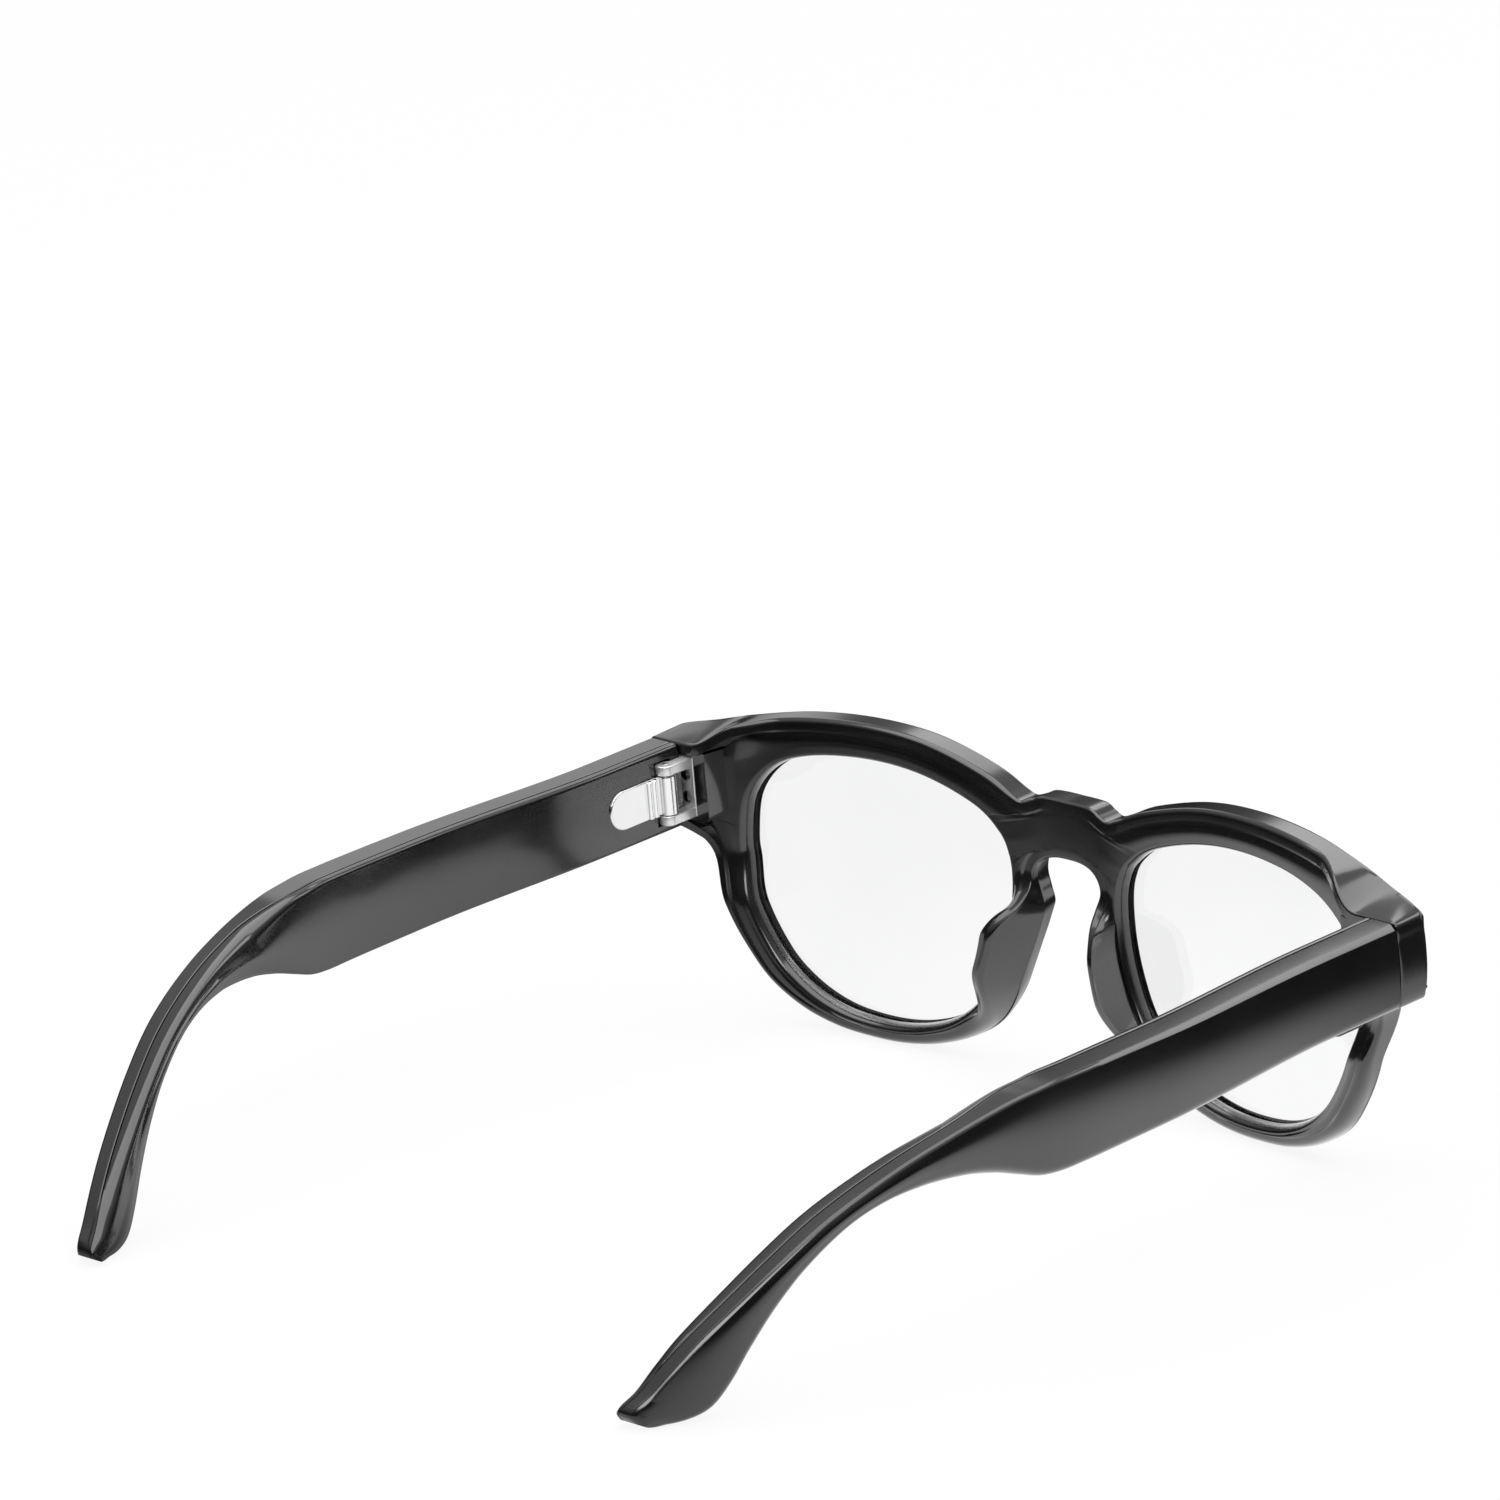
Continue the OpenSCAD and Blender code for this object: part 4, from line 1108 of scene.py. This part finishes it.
def tongue_shape(steps=32):
    # The flat tongue lies on the temple: drawn with its length in y and its width in x, then stood on edge
    end_r = knuckle_mid_h / 2
    points = [(-end_r, tongue_start), (end_r, tongue_start)]
    for k in range(steps + 1):
        a = math.pi * k / steps
        points.append((end_r * math.cos(a), leaf_l - end_r + end_r * math.sin(a)))
    bm = prism(points, 0, leaf_t, tongue_edge)
    on_edge = Matrix.Rotation(math.radians(-90), 4, "Y")
    stand_up = Matrix.Translation((leaf_back - leaf_t, pin_y, hinge_z)) @ on_edge
    bmesh.ops.transform(bm, matrix=stand_up @ Matrix.Scale(-1, 4, (0, 0, 1)), verts=bm.verts)
    bmesh.ops.recalc_face_normals(bm, faces=bm.faces)
    return bm


def upright(profile, x, y):
    # A turned part with its axis upright
    bm = lathe(profile, 64)
    place = Matrix.Translation((x, y, hinge_z)) @ Matrix.Rotation(math.radians(90), 4, "X")
    bmesh.ops.transform(bm, matrix=place, verts=bm.verts)
    return bm


def both_ends(upper):
    # A profile whose lower end is its upper end turned over
    return [(r, -z) for r, z in upper] + upper[::-1]


def temple_leaf_shape():
    h = knuckle_mid_h / 2
    soft = 0.06
    bore_r = pin_r + pin_fit
    barrel = both_ends([(bore_r, h), (knuckle_r - metal_edge, h), (knuckle_r - soft, h - soft),
                        (knuckle_r, h - metal_edge)])
    parts = [tongue_shape(), upright(barrel + barrel[:1], pin_x, pin_y)]
    rib_r = 0.55
    rib_h = h - 0.1
    rib_edge = 0.12
    rib = both_ends([(0, rib_h), (rib_r - rib_edge, rib_h), (rib_r, rib_h - rib_edge)])
    for away in (2.5, 3.5):
        parts.append(upright(rib, leaf_back - leaf_t, pin_y + away))
    return joined(*parts)


def pin_shape():
    h = stack_h
    domed = both_ends([(0, h + 0.06), (0.35, h + 0.05), (pin_r - 0.05, h - 0.02), (pin_r, h - 0.12)])
    return upright(domed, pin_x, pin_y)


# The raised block behind an end piece follows the outline above and beside the hinge
cover_x0 = pin_x - 4.1
cover_top_x = cover_x0 + 0.7
cover_low_x = half_w - 4.2
cover_in = end_wall + 0.1
cover_corner = 1.2
cover_drop = 0.5
cover_edge = 0.5
cover_front = block_back - 4.5
cover_back = plate_back - 0.05
end_points = []
for i in range(9 * OUTLINE_STEPS, 18 * OUTLINE_STEPS):
    if ring[i].x > (cover_top_x if ring[i].y > end_mid else cover_low_x):
        end_points.append(i)


def end_cover_shape():
    # It fills the lip and is flush with the hinge plate let into it
    bm = bmesh.new()
    loops = []
    for inset, depth in ((cover_in + lip_step, cover_front), (cover_in, cover_back)):
        line = inset_line([inset] * ring_n)
        outline = [line[i] - Vector((0, end_fall[i])) for i in end_points]
        low = outline[-1].y - cover_drop
        outline += [Vector((cover_x0 + cover_corner, low)), Vector((cover_x0, low + cover_corner)),
                    Vector((cover_x0, outline[0].y))]
        loops.append([Vector((p.x, max(depth, rim_back_y(p.x) + 0.1), p.y)) for p in outline])
    inner, outer = grow_rings(bm, loops)
    cap_ring(bm, inner)
    cap_ring(bm, outer, cover_edge, 4)
    tidy(bm)
    return bm


def plate_pocket():
    high = stack_h + plate_gap
    low_corner = (pin_x - plate_in - plate_gap, block_back - 0.02, hinge_z - high)
    high_corner = (pin_x + knuckle_r + plate_gap, seam_y + 1, hinge_z + high)
    return block(low_corner, high_corner, 0.05, 1)


def sensor_recess():
    recess_r = 3.0
    behind = rim_t + 1.2
    return at_eye(lathe([(0, 0), (recess_r, 0), (recess_r, behind), (0, behind)], 48))


for side in SIDES:
    end_cover = make_piece(f"{side}_end_cover", end_cover_shape(), gloss_black, "front",
                           [f"{side}_hinge_block"], side)
    carve(end_cover, plate_pocket(), side)
    carve(end_cover, sensor_recess(), side)
    polish(end_cover)
    polish(make_piece(f"{side}_fixed_leaf", front_leaf_shape(), satin_steel, "front",
                      [f"{side}_front_leaf"], side))
    polish(make_piece(f"{side}_pivot_pin", pin_shape(), chrome, "front",
                      [f"{side}_hinge_pin"], side))
    polish(make_piece(f"{side}_moving_leaf", temple_leaf_shape(), chrome, f"{side}_temple",
                      [f"{side}_temple_leaf"], side))

# Temple side shape: upper edge y and z, lower edge y and z, from the hinge end to the tip
ROW_STEPS = 8
temple_keys = []
for y, up, down in (
        (straight_y, 0, 0), (ear_y - 38, 0.1, -0.2), (ear_y - 18, 0.2, -0.4), (ear_y - 8, 0.2, -0.5),
        (ear_y - 3.5, 0.2, -0.5), (ear_y, 0, -0.1)):
    temple_keys.append(Vector((y, temple_top + up, y, temple_low + down)))
temple_keys.append(Vector((ear_y + 4, temple_top - 0.3, ear_y + 3.5, temple_low + 1.1)))
temple_keys.append(Vector((ear_y + 9, temple_top - 1.1, ear_y + 7.5, temple_low + 2.5)))
for y_top, z_top, y_low, z_low in (
        (15, -2.4, 12.5, -9.2), (22, -4.3, 19, -8.8), (29, -6.9, 25, -9.3), (35, -9.8, 30.5, -11.2),
        (41, -13.7, 36, -14.9), (47, -18.1, 41, -19.8), (52, -22, 45, -24.9), (56, -25.6, 48, -29.3),
        (59, -28.5, 50.8, -32.3), (61, -30.1, 54, -33.4), (61.6, -31.2, 57.8, -33.5),
        (61, -32.3, 59.6, -33.1)):
    temple_keys.append(Vector((ear_y + y_top, temple_top + z_top, ear_y + y_low, temple_top + z_low)))
temple_rows = []
for k in range(ROW_STEPS):
    y = mix(temple_y0, straight_y, k / ROW_STEPS)
    temple_rows.append(Vector((y, temple_top, y, temple_low)))
temple_rows += open_curve(temple_keys, ROW_STEPS)


def outer_x(y):
    bow = temple_bow * smooth((y - bow_start) / (bow_end - bow_start))
    return temple_x0 + bow - max(0.0, y - bend_start) ** 2 / (2 * bend_radius)


def thickness(y):
    return temple_t - tip_thinner * smooth((y - ear_y) / thin_run)


def split_x(y):
    cover = cover_t + (cover_ear_t - cover_t) * smooth((y - ear_y) / cover_run)
    return outer_x(y) - thickness(y) + cover


def inner_x(y):
    return outer_x(y) - thickness(y) + tip_round * (max(0.0, y - round_y) / round_l) ** 2


def arc(r, steps=6):
    # Points of a quarter round: how far in from one face and from the other
    points = []
    for k in range(steps + 1):
        a = math.radians(90 * (k / steps))
        points.append((r * (1 - math.cos(a)), r * (1 - math.sin(a))))
    return points


def row_frame(row):
    low = Vector((row[2], row[3]))
    high = Vector((row[0], row[1]))
    return low, high, (high - low).length


def section(row, marks):
    # Points of one section, each given by a face, how far out from it and how high
    low, high, h = row_frame(row)
    points = []
    for face, out, height in marks:
        q = low.lerp(high, height / h)
        points.append(Vector((face(q.x) + out, q.x, q.y)))
    return points


def seam_edge(way, lip, edge_z, up):
    # The softened edge of a shell, from its seam face out to its surface
    marks = []
    for out, deep in ((0, 1), (0.3, 0.3), (1, 0)):
        marks.append((split_x, way * (half_seam + out * lip), edge_z + up * deep * lip))
    return marks


def crowned(face, bulge, start, end):
    return [(face, bulge * 4 * t * (1 - t), mix(start, end, t)) for t in CROWN_SHARES]


def housing_ring(row):
    # Section of the outer shell: along the bottom from the seam, up the outer face and back over the top
    low, _, h = row_frame(row)
    y = low.x
    at_ear = smooth((y - ear_y + ear_lead) / outer_ear_run)
    round_r = min(mix(outer_low_r, outer_ear_r, at_ear), 0.4 * h)
    chamfer = min(mix(outer_chamfer, outer_ear_chamfer, smooth((y - chamfer_y) / chamfer_run)), 0.2 * h)
    lip = min(seam_lip, 0.1 * h)
    marks = seam_edge(1, lip, 0, 1)
    marks += [(outer_x, -off_face, off_low) for off_face, off_low in reversed(arc(round_r))]
    marks += crowned(outer_x, outer_bulge, round_r, h - chamfer)
    for off_face, off_top in ((0, 1.08), (0.06, 0.94), (0.5, 0.5), (0.94, 0.06), (1.08, 0)):
        marks.append((outer_x, -off_face * chamfer, h - off_top * chamfer))
    marks.append((split_x, half_seam + lip + 0.1, h))
    marks += reversed(seam_edge(1, lip, h, -1))
    return section(row, marks)


def cover_ring(row):
    # Section of the inner shell: over the top from the seam, down the inner face and back along the bottom
    low, _, h = row_frame(row)
    y = low.x
    cover_now = split_x(y) - inner_x(y)
    at_tip = smooth((y - round_y + tip_lead) / round_l)
    rounder = smooth((y - ear_y + ear_lead) / inner_top_run) * (1 - at_tip)
    top_r = min(mix(inner_edge_r, inner_top_r, rounder), cover_now - inner_least, 0.3 * h)
    low_r = min(mix(inner_edge_r, inner_low_r, smooth((y - ear_y) / inner_low_run)), 0.45 * h)
    lip = min(seam_lip, 0.1 * h)
    marks = seam_edge(-1, lip, h, -1)
    marks += [(inner_x, off_face, h - off_top) for off_face, off_top in reversed(arc(top_r))]
    marks += crowned(inner_x, -inner_bulge, h - top_r, low_r)
    marks += [(inner_x, off_face, off_low) for off_face, off_low in arc(low_r)]
    marks += reversed(seam_edge(-1, lip, 0, 1))
    return section(row, marks)


def loft(section_ring):
    bm = bmesh.new()
    rings = grow_rings(bm, [section_ring(row) for row in temple_rows])
    cap_ring(bm, rings[0], shell_end_r)
    cap_ring(bm, rings[-1])
    tidy(bm)
    return bm


def knuckle_relief():
    h = stack_h + relief_gap
    return upright(both_ends([(0, h), (relief_r, h)]), pin_x, pin_y)


def slot_block(length, width, x, y, low, high, bevel_r=0.0):
    # An upright block with rounded ends
    bm = prism(stadium(length, width), low, high, bevel_r, 4)
    bmesh.ops.translate(bm, vec=(x, y, 0), verts=bm.verts)
    return bm


def speaker_slot():
    return slot_block(slot_l, slot_w, outer_x(slot_y) - slot_in, slot_y, temple_low - cut_below,
                      temple_low + slot_deep)


def button_hole():
    return slot_block(button_l + button_fit, button_w + button_fit, button_x, button_y,
                      temple_low - cut_below, temple_low + button_deep)


def button_shape():
    return slot_block(button_l, button_w, button_x, button_y, temple_low - button_proud, button_top,
                      button_edge)


for side in SIDES:
    shell = make_piece(f"{side}_outer_shell", loft(housing_ring), gloss_black, f"{side}_temple",
                       [f"{side}_housing"], side)
    carve(shell, speaker_slot(), side)
    if side == "right":
        carve(shell, button_hole(), side)
    polish(shell)
    inner = make_piece(f"{side}_inner_shell", loft(cover_ring), gloss_black, f"{side}_temple",
                       [f"{side}_cover"], side)
    carve(inner, knuckle_relief(), side)
    polish(inner)
polish(make_piece("press_button", button_shape(), button_black, "button", ["shutter_button"],
                  "right"))

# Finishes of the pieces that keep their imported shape
inside_finish = {
    "camera_sensor": circuit_green, "light_board": circuit_green, "charging_contacts": contact_gold,
    "touch_strip": flex_amber, "shutter_switch": matt_black,
}
paired_finish = {
    "hinge_screws": chrome, "leaf_rivets": chrome, "board": circuit_green, "battery": battery_foil,
    "speaker": matt_black, "speaker_mesh": speaker_cloth, "flex": flex_amber,
}
for side in SIDES:
    for part, finish in paired_finish.items():
        inside_finish[f"{side}_{part}"] = finish
for node, finish in inside_finish.items():
    mesh = frame["nodes"][node].data
    mesh.materials.clear()
    mesh.materials.append(finish)


# Floor: nearly white to the camera, white through the lenses, and in reflections a painted pool of light,
# white near the object and fading far from it
# Painted light: in reflections the floor glows as a bright pool round the object, standing in for lamp light
# falling on it
POOL_PLACE = (0.039, 0.016, 0)
POOL_SCALE = (0.65, 0.8, 1)
POOL_FULL = 0.045
POOL_END = 0.12
FAR_FLOOR = 0.03
SEEN_SHARE = 0.9
FLOOR_R = 6.0


def make_pale_floor():
    finish = bpy.data.materials.new("pale_floor")
    finish.use_nodes = True
    tree = finish.node_tree
    shader = tree.nodes["Principled BSDF"]
    feed(tree, shader, Base_Color=(0.9, 0.9, 0.9, 1), Roughness=0.7, Specular_IOR_Level=0.1)
    path = tree.nodes.new("ShaderNodeLightPath").outputs
    pool = tree.nodes.new("ShaderNodeMapping")
    place = tree.nodes.new("ShaderNodeTexCoord").outputs["Object"]
    feed(tree, pool, Vector=place, Location=POOL_PLACE, Scale=POOL_SCALE)
    reach = tree.nodes.new("ShaderNodeVectorMath")
    reach.operation = "LENGTH"
    tree.links.new(pool.outputs["Vector"], reach.inputs[0])
    # Painted pool of light: the glow seen in reflections falls from white near the object to faint far away
    painted_light_pool = tree.nodes.new("ShaderNodeMapRange")
    painted_light_pool.interpolation_type = "SMOOTHSTEP"
    feed(tree, painted_light_pool, Value=reach.outputs["Value"], From_Min=POOL_FULL, From_Max=POOL_END, To_Min=1.0,
         To_Max=FAR_FLOOR)
    seen = greater(tree, path["Is Camera Ray"], path["Is Transmission Ray"])
    white = tree.nodes.new("ShaderNodeEmission")
    feed(tree, white, Strength=greater(tree, painted_light_pool.outputs["Result"], seen))
    by_camera = tree.nodes.new("ShaderNodeMath")
    by_camera.operation = "MULTIPLY"
    tree.links.new(path["Is Camera Ray"], by_camera.inputs[0])
    by_camera.inputs[1].default_value = SEEN_SHARE
    mirrored = greater(tree, path["Is Glossy Ray"], path["Is Transmission Ray"])
    shown = greater(tree, by_camera.outputs[0], mirrored)
    feed(tree, tree.nodes["Material Output"], Surface=blend_shaders(tree, shown, shader, white))
    return finish


def make_floor():
    bm = bmesh.new()
    bmesh.ops.create_circle(bm, cap_ends=True, segments=96, radius=FLOOR_R)
    floor = add_object("floor", new_mesh("floor", bm))
    floor.data.materials.append(make_pale_floor())


make_floor()


# Light, in metres and watts as the frame stands
def soft_lamp(name, place, aim, size, power):
    lamp = bpy.data.lights.new(name, "AREA")
    lamp.shape = "RECTANGLE"
    lamp.size = size[0]
    lamp.size_y = size[1]
    lamp.energy = power
    holder = add_object(name, lamp)
    holder.location = place
    holder.rotation_euler = (Vector(aim) - Vector(place)).to_track_quat("-Z", "Y").to_euler()
    holder.visible_camera = False


soft_lamp("overhead", (0, 0.1, 1.1), (0, 0, 0), (1.6, 1.6), 14)
soft_lamp("before", (0, -1.25, 0.16), (0, 0, 0.03), (1.6, 0.7), 2.8)
soft_lamp("beyond_left", (0.82, -0.62, 0.37), (0.07, 0.03, 0.04), (0.22, 0.5), 0.19)
soft_lamp("beyond_high", (0.75, -1.15, 1.0), (-0.07, 0, 0.04), (0.5, 0.6), 1.25)
soft_lamp("beyond_right", (-0.5, -1.05, 1.05), (-0.07, 0.03, 0.04), (0.5, 0.4), 1.4)
soft_lamp("behind_right", (-0.9, 1.2, 0.9), (0, 0, 0.03), (0.7, 0.5), 4.6)


def make_world():
    # A sky that brightens upwards, and plain white to the camera and through the lenses
    world = bpy.data.worlds.new("studio")
    bpy.context.scene.world = world
    world.use_nodes = True
    tree = world.node_tree
    split = tree.nodes.new("ShaderNodeSeparateXYZ")
    feed(tree, split, Vector=tree.nodes.new("ShaderNodeTexCoord").outputs["Generated"])
    horizon = (0.08, (0.04, 0.04, 0.04))
    low_sky = (0.36, (0.22, 0.22, 0.22))
    high_sky = (0.65, (0.9, 0.9, 0.9))
    sky = tree.nodes["Background"]
    feed(tree, sky, Color=add_ramp(tree, split.outputs["Z"], horizon, high_sky, low_sky), Strength=0.52)
    plain = tree.nodes.new("ShaderNodeBackground")
    feed(tree, plain, Color=(1, 1, 1, 1))
    path = tree.nodes.new("ShaderNodeLightPath").outputs
    seen = greater(tree, path["Is Camera Ray"], path["Is Transmission Ray"])
    feed(tree, tree.nodes["World Output"], Surface=blend_shaders(tree, seen, sky, plain))


make_world()

# Camera at the photograph's angle
camera_eye = Vector((-1235.8, 1207.7, 585.1)) * MM
camera_aim = Vector((9.9, -16.3, 61.6)) * MM
camera_roll = math.radians(-2.19)
camera_data = bpy.data.cameras.new("camera")
camera_data.lens = 311.6
camera_data.sensor_width = 36
camera = add_object("camera", camera_data)
look = (camera_aim - camera_eye).to_track_quat("-Z", "Y").to_matrix().to_4x4()
camera.matrix_world = Matrix.Translation(camera_eye) @ look @ Matrix.Rotation(camera_roll, 4, "Z")
bpy.context.scene.camera = camera
bpy.context.scene.view_settings.view_transform = "Standard"
